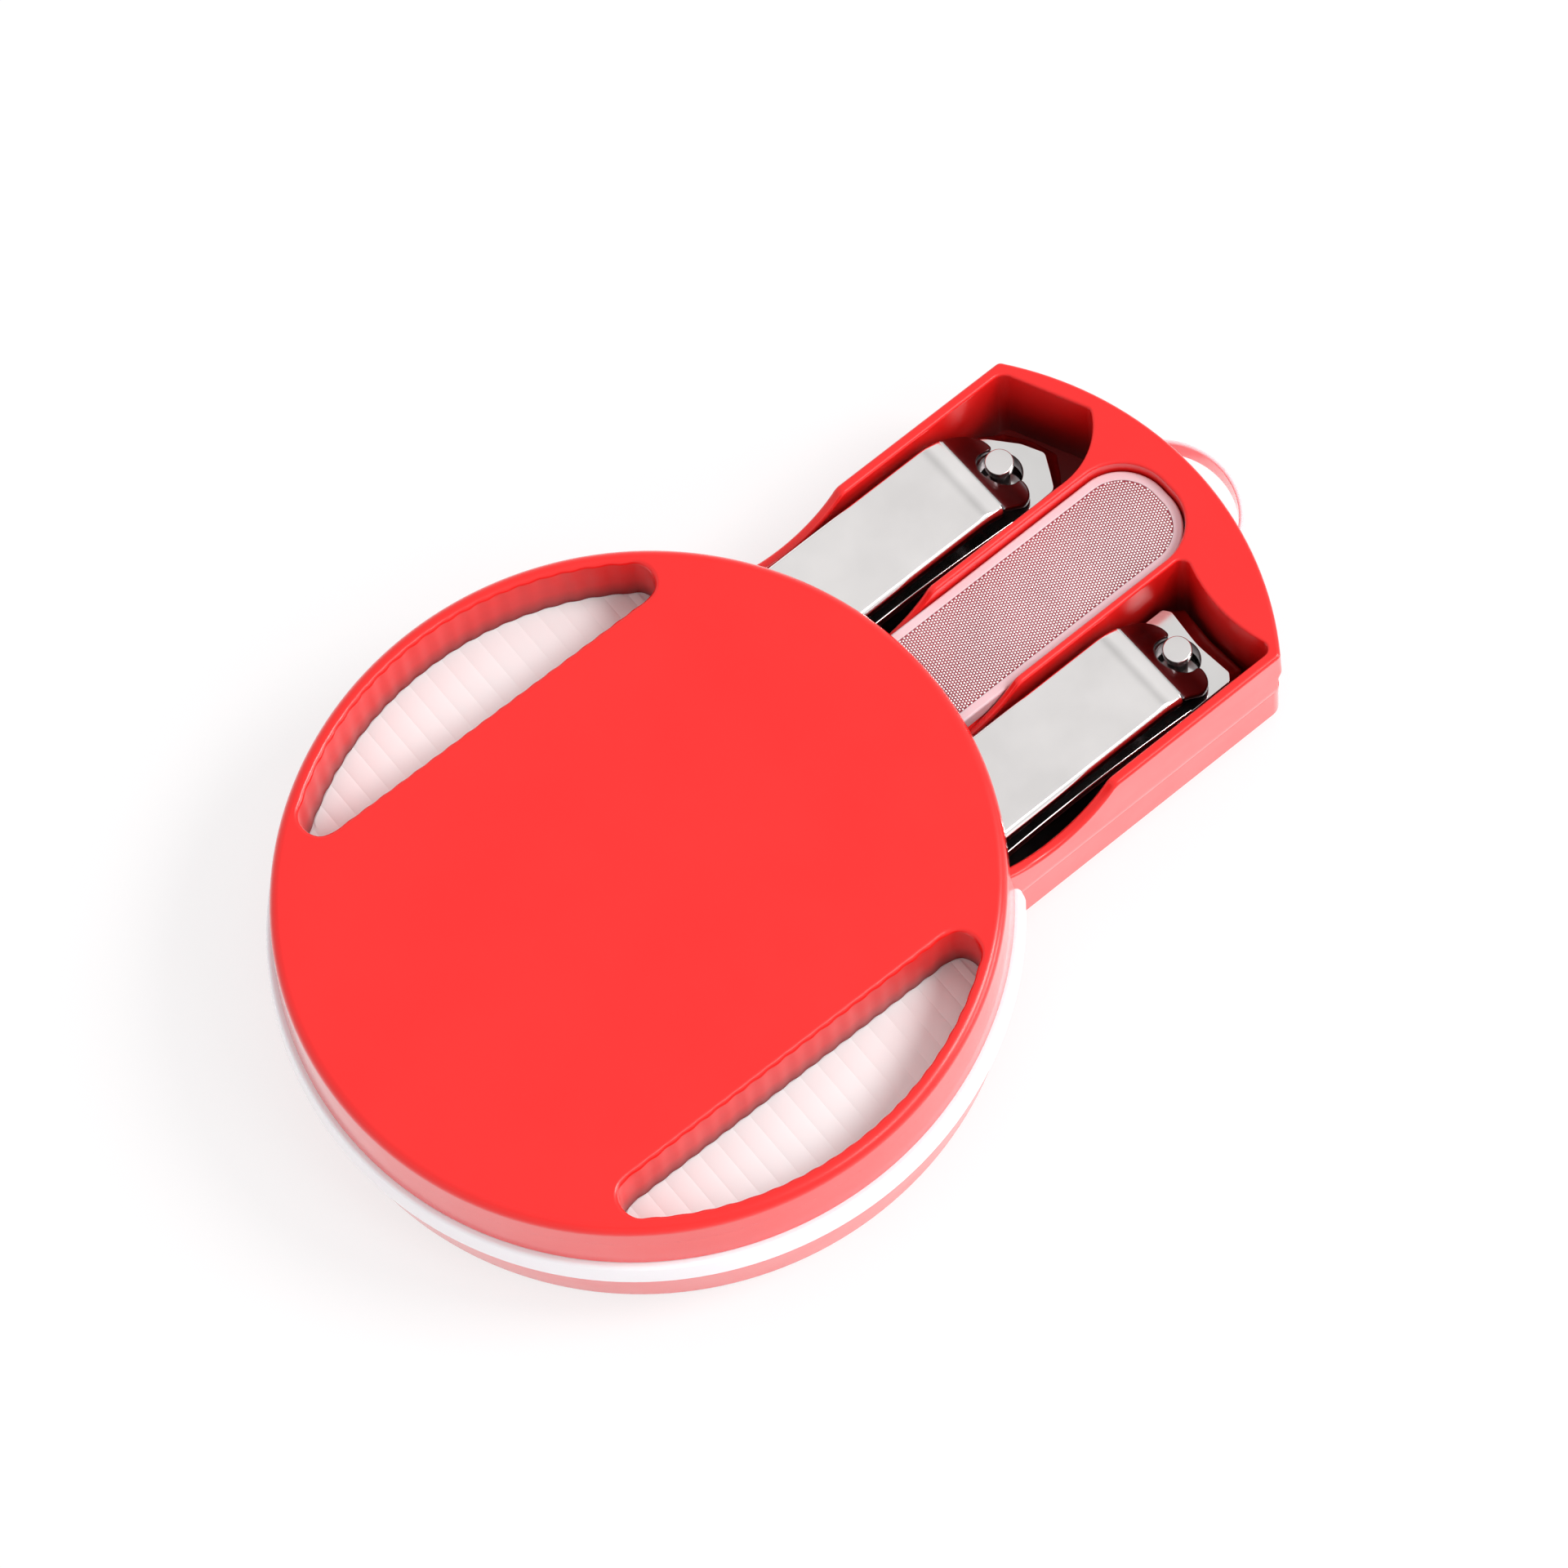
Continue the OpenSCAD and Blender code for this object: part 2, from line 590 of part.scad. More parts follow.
// One arm, drawn as the upper one: heights above the middle plane
module arm(pointed) {
    difference() {
        union() {
            intersection() {
                y_prism(arm_w) polygon(arm_side);
                linear_extrude(2 * arch_h) round_rect(tail_x, jaw_x, -arm_hw, arm_hw, 3);
            }
            hull() {
                translate([0, 0, front_h - 0.1]) linear_extrude(0.1)
                    polygon(pointed ? point_flat() : straight_flat());
                translate([0, 0, jaw_gap / 2]) linear_extrude(0.3)
                    polygon(pointed ? point_lip() : straight_lip());
            }
        }
        // hollow behind the cutting edge
        translate([0, 0, -past]) linear_extrude(front_under + past)
            polygon(pointed ? point_lip(0.7) : straight_lip(0.7));
        translate([jaw_root - 3, -arm_hw, -past]) cube([3.1, arm_w, front_under + past]);
        translate([rivet_x, 0, -past]) cylinder(r = rivet_d / 2 + 0.1, h = 2 * arch_h);
        children();
    }
}

module lower_arm(pointed) mirror([0, 0, 1]) arm(pointed)
    translate([pin_x, 0, 0]) cylinder(r = pin_d / 2 + press, h = 2 * arch_h);

module upper_arm(pointed) arm(pointed)
    translate([pin_x, 0, 0]) cylinder(r = pin_d / 2 + 0.4, h = 2 * arch_h);

// The lever's sheet seen from the side: it droops at its tail and turns down at its nose
bend_l = 2.5;
bend_d = lever_h - front_h - nose_h + 0.2;
tail_l = 14;
tail_drop = 2.2;
flat_end = fork_x - bend_l;
function lever_line(t) = concat(
    [for (a = [90 : -15 : 0])
        [lever_tail_x + tail_l * (1 - sin(a)), lever_h - t - tail_drop * (1 - cos(a))]],
    [for (a = [0 : 15 : 90])
        [flat_end + (bend_l - t) * sin(a), lever_h - t - (bend_d - t) * (1 - cos(a))]]);
function backwards(list) = [for (i = [len(list) - 1 : -1 : 0]) list[i]];

module lever() {
    hw = lever_w / 2;
    intersection() {
        union() {
            y_prism(lever_w) polygon(concat(lever_line(0), backwards(lever_line(lever_t))));
            difference() {
                y_prism(lever_w) polygon(concat(lever_line(0), backwards(lever_line(flange_h))));
                translate([lever_tail_x - past, lever_t - hw, 0])
                    cube([lever_l, lever_w - 2 * lever_t, 2 * lever_h]);
            }
        }
        linear_extrude(2 * lever_h) round_rect(lever_tail_x, nose_x, -hw, hw, 2);
    }
    // the forked nose: a web under the pin's head, and a lobe at each side of it
    difference() {
        intersection() {
            y_prism(lever_w) round_rect(nose_x - nose_l, nose_x, front_h, front_h + nose_h, 1.2);
            linear_extrude(2 * lever_h) round_rect(nose_x - nose_l, nose_x, -hw, hw, 2.4);
        }
        translate([fork_x, -pin_head_d / 2 - 0.7, front_h + 1.2])
            cube([2 * pin_head_d, pin_head_d + 1.4, lever_h]);
        translate([pin_x, -pin_d / 2 - 0.4, 0]) cube([2 * pin_head_d, pin_d + 0.8, lever_h]);
        translate([pin_x, 0, 0]) cylinder(r = pin_d / 2 + 0.4, h = lever_h);
    }
}

// The pin: its foot under the lower arm, its head above the lever's web
module pin() {
    translate([0, 0, -front_h - 0.7]) cylinder(d = pin_head_d + 0.6, h = 0.7);
    translate([0, 0, -front_h - 0.1]) cylinder(d = pin_d, h = 2 * front_h + 2.5);
    translate([0, 0, front_h + 2.3]) cylinder(d = pin_head_d, h = 1.4);
}

module tail_rivet() {
    top = tail_gap / 2 + arm_t;
    cylinder(d = rivet_d, h = 2 * top + 0.4, center = true);
    for (side = [-1, 1])
        translate([0, 0, side * (top + 0.45)]) cylinder(d = rivet_d + 1.6, h = 0.6, center = true);
}

module left_lower_arm() color(steel) clipper_place(left_y) lower_arm(true);
module left_upper_arm() color(steel) clipper_place(left_y) upper_arm(true);
module left_lever() color("#b9b3ad") clipper_place(left_y) lever();
module left_pin() color(steel) clipper_place(left_y) translate([pin_x, 0, 0]) pin();
module left_tail_rivet() color(steel) clipper_place(left_y) translate([rivet_x, 0, 0]) tail_rivet();
module right_lower_arm() color(steel) clipper_place(right_y) lower_arm(false);
module right_upper_arm() color(steel) clipper_place(right_y) upper_arm(false);
module right_lever() color("#b9b3ad") clipper_place(right_y) lever();
module right_pin() color(steel) clipper_place(right_y) translate([pin_x, 0, 0]) pin();
module right_tail_rivet() color(steel) clipper_place(right_y) translate([rivet_x, 0, 0]) tail_rivet();

base_shell();
chassis();
union() { top_cover(); cover_guides(); }
case_screws();
tray_upper();
tray_lower();
pull_loop();
tray_screws();
file_body();
file_plate();
left_lower_arm();
left_upper_arm();
left_lever();
left_pin();
left_tail_rivet();
right_lower_arm();
right_upper_arm();
right_lever();
right_pin();
right_tail_rivet();
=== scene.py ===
"""Looks of the manicure set case: a round red case, its tray pulled out to the side."""

import json
import math

import bpy
import numpy as np
from mathutils import Matrix, Vector
from mathutils.geometry import delaunay_2d_cdt

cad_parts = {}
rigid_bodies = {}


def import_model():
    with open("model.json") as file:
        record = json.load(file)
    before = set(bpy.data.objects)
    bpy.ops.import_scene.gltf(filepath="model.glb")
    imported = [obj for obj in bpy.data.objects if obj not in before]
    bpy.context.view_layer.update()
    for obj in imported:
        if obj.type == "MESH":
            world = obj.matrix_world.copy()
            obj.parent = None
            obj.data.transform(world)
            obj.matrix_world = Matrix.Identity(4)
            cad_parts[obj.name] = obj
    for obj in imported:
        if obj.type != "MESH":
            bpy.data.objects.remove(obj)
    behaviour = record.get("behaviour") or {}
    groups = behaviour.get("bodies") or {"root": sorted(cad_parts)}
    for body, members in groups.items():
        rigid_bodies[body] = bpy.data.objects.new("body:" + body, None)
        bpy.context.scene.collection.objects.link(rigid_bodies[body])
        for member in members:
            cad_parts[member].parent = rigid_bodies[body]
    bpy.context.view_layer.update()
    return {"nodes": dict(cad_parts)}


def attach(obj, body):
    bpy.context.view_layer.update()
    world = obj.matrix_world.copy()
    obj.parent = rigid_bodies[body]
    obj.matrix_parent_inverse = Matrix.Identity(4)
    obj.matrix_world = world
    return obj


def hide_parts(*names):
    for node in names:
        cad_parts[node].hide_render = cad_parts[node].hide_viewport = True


MM = 0.001

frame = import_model()
nodes = frame["nodes"]


# ---------- sizes in millimetres, most of them the part's own ----------

TRAY_OPEN = 48.4             # how far the tray is pulled out
BASE_TOP = 10.7
BAND_TOP = 15.0
TOP = 25.0
PLATE_Z = 22.4               # underside of the cover's plate
MOUTH_Z = 20.9               # top of the mouth in the cover's rim
COVER_R = 50.0
SKIRT_R = 50.8
BAND_R = 52.2
BASE_R = 51.0
RIM_IN = 47.9
CHANNEL_HW = 30.5
WINDOW_Y = 32.5
WINDOW_CORNER = 3.2          # 3.0 in the part
WINDOW_TURN = math.radians(-1.0)   # none in the part
RIB_PITCH = 2.9
RIB_H = 0.14                 # top of the deck's lobes, above the band
VALLEY_H = 0.04              # the valleys between them
TRAY_Z = 1.55
TRAY_TOP = 20.45
PARTING_Z = 9.2
FLOOR_TOP = 3.05
TRAY_HW = 30.0
LOWER_HW = 29.9
END_R = 50.4
BACK_X = -36.99
POCKET_BACK = -35.59
POCKET_IN = 9.75
POCKET_OUT = 28.4
POCKET_Y = (POCKET_IN + POCKET_OUT) / 2
LEFT_REACH = 44.0
RIGHT_REACH = 38.9
LEFT_SLANT = math.radians(24.7)
FILE_Z = 15.35
FILE_TOP = 18.35
FILE_HW = 8.35
FILE_CORNER = FILE_HW - 0.95
FILE_RIM = 1.4
FILE_BACK = -32.79
FILE_FRONT = 45.6
CLIP_Z = 8.45
PIN_X = 31.86
LEFT_Y = 19.825
RIGHT_Y = -18.325
TAIL_X = -35.19
RIVET_X = -31.19
# middle of a window's corner, and the angle at which the channel's side meets the rim
WINDOW_CY = WINDOW_Y + WINDOW_CORNER
WINDOW_CX = math.sqrt((RIM_IN - WINDOW_CORNER) ** 2 - WINDOW_CY ** 2)
CHANNEL_TURN = math.degrees(math.asin(CHANNEL_HW / RIM_IN))


# ---------- outlines ----------

def arc(cx, cy, r, a0, a1, step=6.0, count=0):
    """Points from angle a0 to a1, in degrees, both ends included."""
    count = count or max(2, int(math.ceil(abs(a1 - a0) / step)) + 1)
    angles = np.radians(np.linspace(a0, a1, count))
    return [(cx + r * math.cos(a), cy + r * math.sin(a)) for a in angles]


def rounded(corners, step=9.0, count=0):
    """A closed outline from (x, y, radius) corners, each rounded by its radius in count steps."""
    points = []
    for i, (x, y, r) in enumerate(corners):
        here = Vector((x, y))
        before = Vector(corners[i - 1][:2]) - here
        after = Vector(corners[(i + 1) % len(corners)][:2]) - here
        before.normalize()
        after.normalize()
        between = before.angle(after)
        if r <= 0 or between > math.pi - 0.01:
            points.append((x, y))
            continue
        reach = r / math.tan(between / 2)
        start = here + before * reach
        end = here + after * reach
        centre = here + (before + after).normalized() * (r / math.sin(between / 2))
        a0 = math.atan2(start.y - centre.y, start.x - centre.x)
        turn = math.atan2(end.y - centre.y, end.x - centre.x) - a0
        turn = (turn + math.pi) % (2 * math.pi) - math.pi
        steps = count or max(2, int(math.ceil(math.degrees(abs(turn)) / step)))
        points += [(centre.x + r * math.cos(a0 + turn * k / steps),
                    centre.y + r * math.sin(a0 + turn * k / steps)) for k in range(steps + 1)]
    return points


def bar(x0, x1, y0, y1, r, step=9.0, count=0):
    """The outline of a rectangle with rounded corners."""
    return rounded([(x0, y0, r), (x1, y0, r), (x1, y1, r), (x0, y1, r)], step, count)


def level_ring(points, z):
    """The outline as an array of 3-D points at the height z, or at a height for each point."""
    return np.column_stack([points, np.broadcast_to(z, len(points))])


def tidy(points, hole=False):
    """Drops doubled points and turns the outline counter-clockwise, or clockwise for a hole."""
    kept = [p for i, p in enumerate(points) if math.dist(p, points[i - 1]) > 1e-4]
    area = sum(p[0] * q[1] - q[0] * p[1] for p, q in zip(kept[-1:] + kept[:-1], kept))
    if (area < 0) != hole:
        kept.reverse()
    return kept


def cut_at(points, stations):
    """Adds a point wherever a side of the outline crosses one of the x stations."""
    result = []
    for p, q in zip(points, points[1:] + points[:1]):
        result.append(p)
        if abs(q[0] - p[0]) < 1e-6:
            continue
        low, high = min(p[0], q[0]) + 1e-3, max(p[0], q[0]) - 1e-3
        inner = [s for s in stations if low < s < high]
        inner.sort(reverse=q[0] < p[0])
        result += [(s, p[1] + (q[1] - p[1]) * (s - p[0]) / (q[0] - p[0])) for s in inner]
    return result


def cut_ring(ring, stations):
    """The 3-D outline with a point wherever it crosses one of the x stations."""
    ring = [np.array(p, float) for p in ring]
    for p in ring:
        near = min(stations, key=lambda s: abs(s - p[0]))
        if abs(near - p[0]) < 2e-3:
            p[0] = near
    result = []
    for p, q in zip(ring, ring[1:] + ring[:1]):
        result.append(p)
        inner = [s for s in stations if min(p[0], q[0]) < s < max(p[0], q[0])]
        inner.sort(reverse=bool(q[0] < p[0]))
        for s in inner:
            cut = p + (q - p) * (s - p[0]) / (q[0] - p[0])
            cut[0] = s
            result.append(cut)
    return np.array(result)


def outward(points):
    """For each point of an outline, its unit normal away from the material and the mitre factor."""
    p = np.array(points)
    along = np.roll(p, -1, 0) - p
    along /= np.linalg.norm(along, axis=1)[:, None]
    side = np.stack([along[:, 1], -along[:, 0]], 1)
    normal = side + np.roll(side, 1, 0)
    normal /= np.linalg.norm(normal, axis=1)[:, None]
    mitre = 1 / np.maximum(0.5, np.sum(normal * side, 1))
    return normal, mitre


def window():
    """A window of the +y side: straight inside, an arc outside, with rounded corners."""
    turn = math.degrees(math.atan2(WINDOW_CY, WINDOW_CX))
    return (arc(WINDOW_CX, WINDOW_CY, WINDOW_CORNER, -90, turn, 9)
            + arc(0, 0, RIM_IN, turn, 180 - turn, 3)
            + arc(-WINDOW_CX, WINDOW_CY, WINDOW_CORNER, 180 - turn, 270, 9))


def flipped(points):
    return [(x, -y) for x, y in points]


def turned(points):
    """Points turned about the case's axis, as the windows are. Heights stay."""
    c, s = math.cos(WINDOW_TURN), math.sin(WINDOW_TURN)
    return [(x * c - y * s, x * s + y * c, *rest) for x, y, *rest in points]


def resampled(points, gap):
    """The closed outline with more points, none further than gap from the next."""
    result = []
    for p, q in zip(points, points[1:] + points[:1]):
        count = max(1, int(math.ceil(math.dist(p, q) / gap)))
        result += [(p[0] + (q[0] - p[0]) * k / count, p[1] + (q[1] - p[1]) * k / count)
                   for k in range(count)]
    return result


def c_shape(r, end_round):
    """The case's outline less the tray's channel and its mouth, which opens to +x."""
    cy = CHANNEL_HW + end_round
    cx = math.sqrt((r - end_round) ** 2 - cy ** 2)
    turn = math.degrees(math.atan2(cy, cx))
    return (arc(cx, cy, end_round, -90, turn, count=9) + arc(0, 0, r, turn, 360 - turn, count=145)
            + arc(cx, -cy, end_round, -turn, 90, count=9)
            + arc(0, 0, RIM_IN, 180 + CHANNEL_TURN, 180 - CHANNEL_TURN, 4))


# ---------- meshes ----------

class Shell:
    """Collects faces in millimetres. Each corner of a face has its own normal."""

    def __init__(self, shift=0.0, across=0.0, up=0.0):
        self.index, self.points, self.faces, self.normals, self.paints = {}, [], [], [], []
        self.shift = (shift, across, up)
        self.mirrored = False    # turned over about the middle plane

    def vertex(self, p):
        key = (round(p[0] * 5000), round(p[1] * 5000), round(p[2] * 5000))
        if key not in self.index:
            self.index[key] = len(self.points)
            turned = (p[0], p[1], -p[2]) if self.mirrored else p
            self.points.append(tuple(float(turned[k] + self.shift[k]) * MM for k in range(3)))
        return self.index[key]

    def face(self, corners, normals, paint=0):
        ids = [self.vertex(p) for p in corners]
        keep = [i for i in range(len(ids)) if ids[i] != ids[i - 1]]
        if len(keep) < 3 or len({ids[i] for i in keep}) < len(keep):
            return
        if self.mirrored:
            keep.reverse()
        flip = -1.0 if self.mirrored else 1.0
        self.faces.append([ids[i] for i in keep])
        self.normals += [(float(normals[i][0]), float(normals[i][1]), flip * float(normals[i][2]))
                         for i in keep]
        self.paints.append(paint)

    def sheet(self, rings, closed=True, first=None, last=None, paint=0):
        """Quads between rings of points, smooth all over. first and last are the end rings' normals."""
        rings = np.array(rings, float)
        if closed:
            ahead, behind = np.roll(rings, -1, 1), np.roll(rings, 1, 1)
            along = ahead - behind
        else:
            along = np.gradient(rings, axis=1)
        up = np.empty_like(rings)
        up[1:-1] = rings[2:] - rings[:-2]
        up[0] = rings[1] - rings[0]
        up[-1] = rings[-1] - rings[-2]
        normal = np.cross(along, up)
        size = np.linalg.norm(normal, axis=2)[:, :, None]
        normal = normal / np.maximum(size, 1e-12)
        for row, fixed in ((0, first), (-1, last)):
            if fixed is not None:
                normal[row] = fixed
        count = rings.shape[1]
        paints = paint if isinstance(paint, (list, tuple)) else [paint] * count
        for k in range(len(rings) - 1):
            for i in range(count if closed else count - 1):
                j = (i + 1) % count
                self.face((rings[k, i], rings[k, j], rings[k + 1, j], rings[k + 1, i]),
                          (normal[k, i], normal[k, j], normal[k + 1, j], normal[k + 1, i]), paints[i])

    def cap(self, loops, up=1, normals=None, paint=0, stations=()):
        """Fills the area inside the first loop and outside the others. Loops are 3-D points.

        Where the loops cross a station in x, faces end, so that a surface can bend there.
        """
        flat, edges = [], []
        for loop in loops:
            start = len(flat)
            flat += [tuple(p) for p in loop]
            edges += [(start + i, start + (i + 1) % len(loop)) for i in range(len(loop))]
        given = normals if normals is not None else [(0, 0, up)] * len(flat)
        plan = [Vector((p[0], p[1])) for p in flat]
        a = np.array([flat[e[0]][:2] for e in edges])
        b = np.array([flat[e[1]][:2] for e in edges])

        def inside(x, y):
            span = (a[:, 1] > y) != (b[:, 1] > y)
            with np.errstate(divide="ignore", invalid="ignore"):
                cross = a[:, 0] + (y - a[:, 1]) * (b[:, 0] - a[:, 0]) / (b[:, 1] - a[:, 1])
            return np.count_nonzero(span & (cross > x)) % 2 == 1

        ties = []
        for x in stations:
            row = sorted((p[1], i) for i, p in enumerate(flat) if abs(p[0] - x) < 1e-6)
            ties += [(i, j) for (y0, i), (y1, j) in zip(row, row[1:])
                     if y1 - y0 > 1e-3 and inside(x, (y0 + y1) / 2)]
        verts, _, faces, origin, _, _ = delaunay_2d_cdt(plan, edges + ties, [], 0, 1e-5)
        for face in faces:
            if any(not origin[i] for i in face):
                continue
            ids = [origin[i][0] for i in face]
            if not inside(*np.mean([flat[i][:2] for i in ids], axis=0)):
                continue
            if up < 0:
                ids.reverse()
            self.face([flat[i] for i in ids], [given[i] for i in ids], paint)

    def build(self, name):
        mesh = bpy.data.meshes.new(name)
        mesh.from_pydata(self.points, [], self.faces)
        mesh.polygons.foreach_set("use_smooth", [True] * len(self.faces))
        mesh.polygons.foreach_set("material_index", self.paints)
        mesh.update()
        mesh.normals_split_custom_set(self.normals)
        piece = bpy.data.objects.new(name, mesh)
        bpy.context.scene.collection.objects.link(piece)
        return piece


def add(shell, name, node, materials):
    """Turns a shell into a piece that rides with a CAD node's body and stands for the node."""
    piece = shell.build(name)
    for material in materials:
        piece.data.materials.append(material)
    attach(piece, body_of[node])
    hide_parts(node)


body_of = {name: node.parent.name.split(":", 1)[1] for name, node in nodes.items()}


def round_up(z, r, steps=5):
    """Rings of a round along a top edge: (inset, z)."""
    return [(r * (1 - math.cos(a)), z - r + r * math.sin(a))
            for a in np.radians(np.linspace(0, 90, steps + 1))]


def round_down(z, r, steps=5):
    """Rings of a round along a bottom edge: (inset, z), from the underside up."""
    return [(r * (1 - math.sin(a)), z + r - r * math.cos(a))
            for a in np.radians(np.linspace(0, 90, steps + 1))]


def wall_rings(points, profile):
    """Rings of a wall: the outline drawn in by each inset of the profile, at its height."""
    normal, mitre = outward(points)
    p = np.array(points)
    rings = []
    for inset, z in profile:
        moved = p - normal * (mitre * inset)[:, None]
        rings.append(level_ring(moved, z))
    return rings


def lathe(shell, profiles, centre, count):
    """Turns (r, z) profiles about an upright axis. Each profile is smooth, with an edge between two."""
    angles = np.linspace(0, 2 * math.pi, count, endpoint=False)
    ring = np.stack([np.cos(angles), np.sin(angles)], 1)
    for profile in profiles:
        path = np.array(profile, float)
        slope = np.empty_like(path)
        slope[1:-1] = path[2:] - path[:-2]
        slope[0] = path[1] - path[0]
        slope[-1] = path[-1] - path[-2]
        slope /= np.linalg.norm(slope, axis=1)[:, None]
        for k in range(len(path) - 1):
            for i in range(count):
                j = (i + 1) % count
                corners, normals = [], []
                for row, col in ((k, i), (k, j), (k + 1, j), (k + 1, i)):
                    r, z = path[row]
                    corners.append((centre[0] + r * ring[col, 0], centre[1] + r * ring[col, 1], z))
                    normals.append((slope[row, 1] * ring[col, 0], slope[row, 1] * ring[col, 1],
                                    -slope[row, 0]))
                shell.face(corners, normals)


def circle_rings(profile):
    """Rings about the case's axis, from a list of (radius, z)."""
    angles = np.linspace(0, 2 * math.pi, 180, endpoint=False)
    circle = np.stack([np.cos(angles), np.sin(angles)], 1)
    return [level_ring(r * circle, z) for r, z in profile]


def c_rings(profile, end_round):
    """Rings of the case's C shape, from a list of (radius, z)."""
    return [level_ring(c_shape(r, end_round), z) for r, z in profile]


def block(shell, low, high):
    """A plain rib, with flat faces."""
    (x0, y0, z0), (x1, y1, z1) = low, high
    sides = (((x0, y0), (x1, y0), (0, -1)), ((x1, y0), (x1, y1), (1, 0)),
             ((x1, y1), (x0, y1), (0, 1)), ((x0, y1), (x0, y0), (-1, 0)))
    for a, b, n in sides:
        normal = (n[0], n[1], 0)
        shell.face(((*a, z0), (*b, z0), (*b, z1), (*a, z1)), [normal] * 4)
    ring = ((x0, y0), (x1, y0), (x1, y1), (x0, y1))
    shell.face([(*p, z1) for p in ring], [(0, 0, 1)] * 4)
    shell.face([(*p, z0) for p in reversed(ring)], [(0, 0, -1)] * 4)


def screw_hole(shell, x, y, r, z0, z1):
    """A blind hole from below. Returns its rim, for the cap that it opens."""
    rim = tidy(arc(x, y, r, 0, 345, 15), hole=True)
    low, high = level_ring(rim, z0), level_ring(rim, z1)
    shell.sheet([low, high])
    shell.cap([high[::-1]], up=-1)
    return low


MOUTH_TURN = math.degrees(math.asin((CHANNEL_HW + 0.3) / 50.3))   # half the mouth, at the rim
FLUTE = 0.07                 # half the depth of the flutes in the windows' walls
FLUTE_FADE = (1, 1, 1, 0.9, 0.75, 0.5, 0.25, 0.1, 0, 0)   # from the wall's foot to its rounded top
WINDOW_ROUND = 0.65          # round along the windows' top edge
CASE_SCREWS = [(sx * 33.37, sy * 33.0) for sx in (-1, 1) for sy in (-1, 1)]
TRAY_SCREWS = [(-29.79, 0.0), (6.405, 0.0), (40.0, 0.0)]


def cover_r(z):
    return SKIRT_R - (SKIRT_R - COVER_R) * (z - BAND_TOP) / (TOP - BAND_TOP)


def make_cover(materials):
    shell = Shell()
    edge = 1.5
    low = [(cover_r(BAND_TOP) - i, z) for i, z in round_down(BAND_TOP, 0.3, 3)]
    c_side = c_rings(low + [(cover_r(18), 18), (cover_r(MOUTH_Z), MOUTH_Z)], 0.3)
    shell.sheet(c_side, first=(0, 0, -1))
    crown = cover_r(TOP - edge)
    top = [(crown - i, z) for i, z in round_up(TOP, edge, 8)]
    rings = circle_rings([(cover_r(MOUTH_Z), MOUTH_Z), (cover_r(22), 22)] + top)
    shell.sheet(rings, last=(0, 0, 1))
    tops, foots = [rings[-1]], [c_side[0]]
    for outline in (window(), flipped(window())):
        outline = resampled(tidy(outline, hole=True), 0.4)
        normal, _ = outward(outline)
        # shallow flutes run up the wall, one to each rib of the deck
        flute = [FLUTE - FLUTE * math.cos(2 * math.pi * x / RIB_PITCH) for x, _ in outline]
        walls = wall_rings(outline, [(0, BAND_TOP), (0, 18), (0, 21)]
                           + round_up(TOP, WINDOW_ROUND, 6))
        for ring, depth in zip(walls, FLUTE_FADE):
            ring[:, :2] += normal * (np.array(flute) * depth)[:, None]
        walls = [np.array(turned(ring)) for ring in walls]
        # the walls' lower part takes the second material: the red with painted shade towards the foot
        shell.sheet(walls[:4], paint=1)
        shell.sheet(walls[3:], last=(0, 0, 1))
        tops.append(walls[-1])
        foots.append(walls[0])
    shell.cap(tops)
    shell.cap(foots, up=-1)
    # the mouth: the rim's underside, and the channel's ceiling behind it
    strip = (arc(0, 0, cover_r(MOUTH_Z), -MOUTH_TURN, MOUTH_TURN, 2)
             + arc(0, 0, RIM_IN, CHANNEL_TURN, -CHANNEL_TURN, 2))
    shell.cap([[(x, y, MOUTH_Z) for x, y in strip]], up=-1)
    channel = tidy(arc(0, 0, RIM_IN, -CHANNEL_TURN, CHANNEL_TURN, 2)
                   + arc(0, 0, RIM_IN, 180 - CHANNEL_TURN, 180 + CHANNEL_TURN, 4), hole=True)
    walls = wall_rings(channel, [(0, MOUTH_Z), (0, PLATE_Z)])
    shell.sheet(walls)
    shell.cap([walls[-1][::-1]], up=-1)
    # ribs that keep the tray level, and the bar that stops it
    guide_y, guide_x, half_t = 28.6, 38.42, 0.6
    stop_x = 31.72
    foot = MOUTH_Z - 0.1
    for side in (-1, 1):
        block(shell, (-guide_x, side * guide_y - half_t, foot),
              (guide_x, side * guide_y + half_t, PLATE_Z))
    block(shell, (stop_x - half_t, -guide_y, foot), (stop_x + half_t, guide_y, PLATE_Z))
    add(shell, "cover", "top_cover", materials)


def lobe_height(x):
    """The ribbed deck's height: low convex lobes, with a sharp valley between two."""
    along = (x / RIB_PITCH + 0.5) % 1.0
    return BAND_TOP + VALLEY_H + (RIB_H - VALLEY_H) * (1 - (2 * along - 1) ** 2) ** 0.8


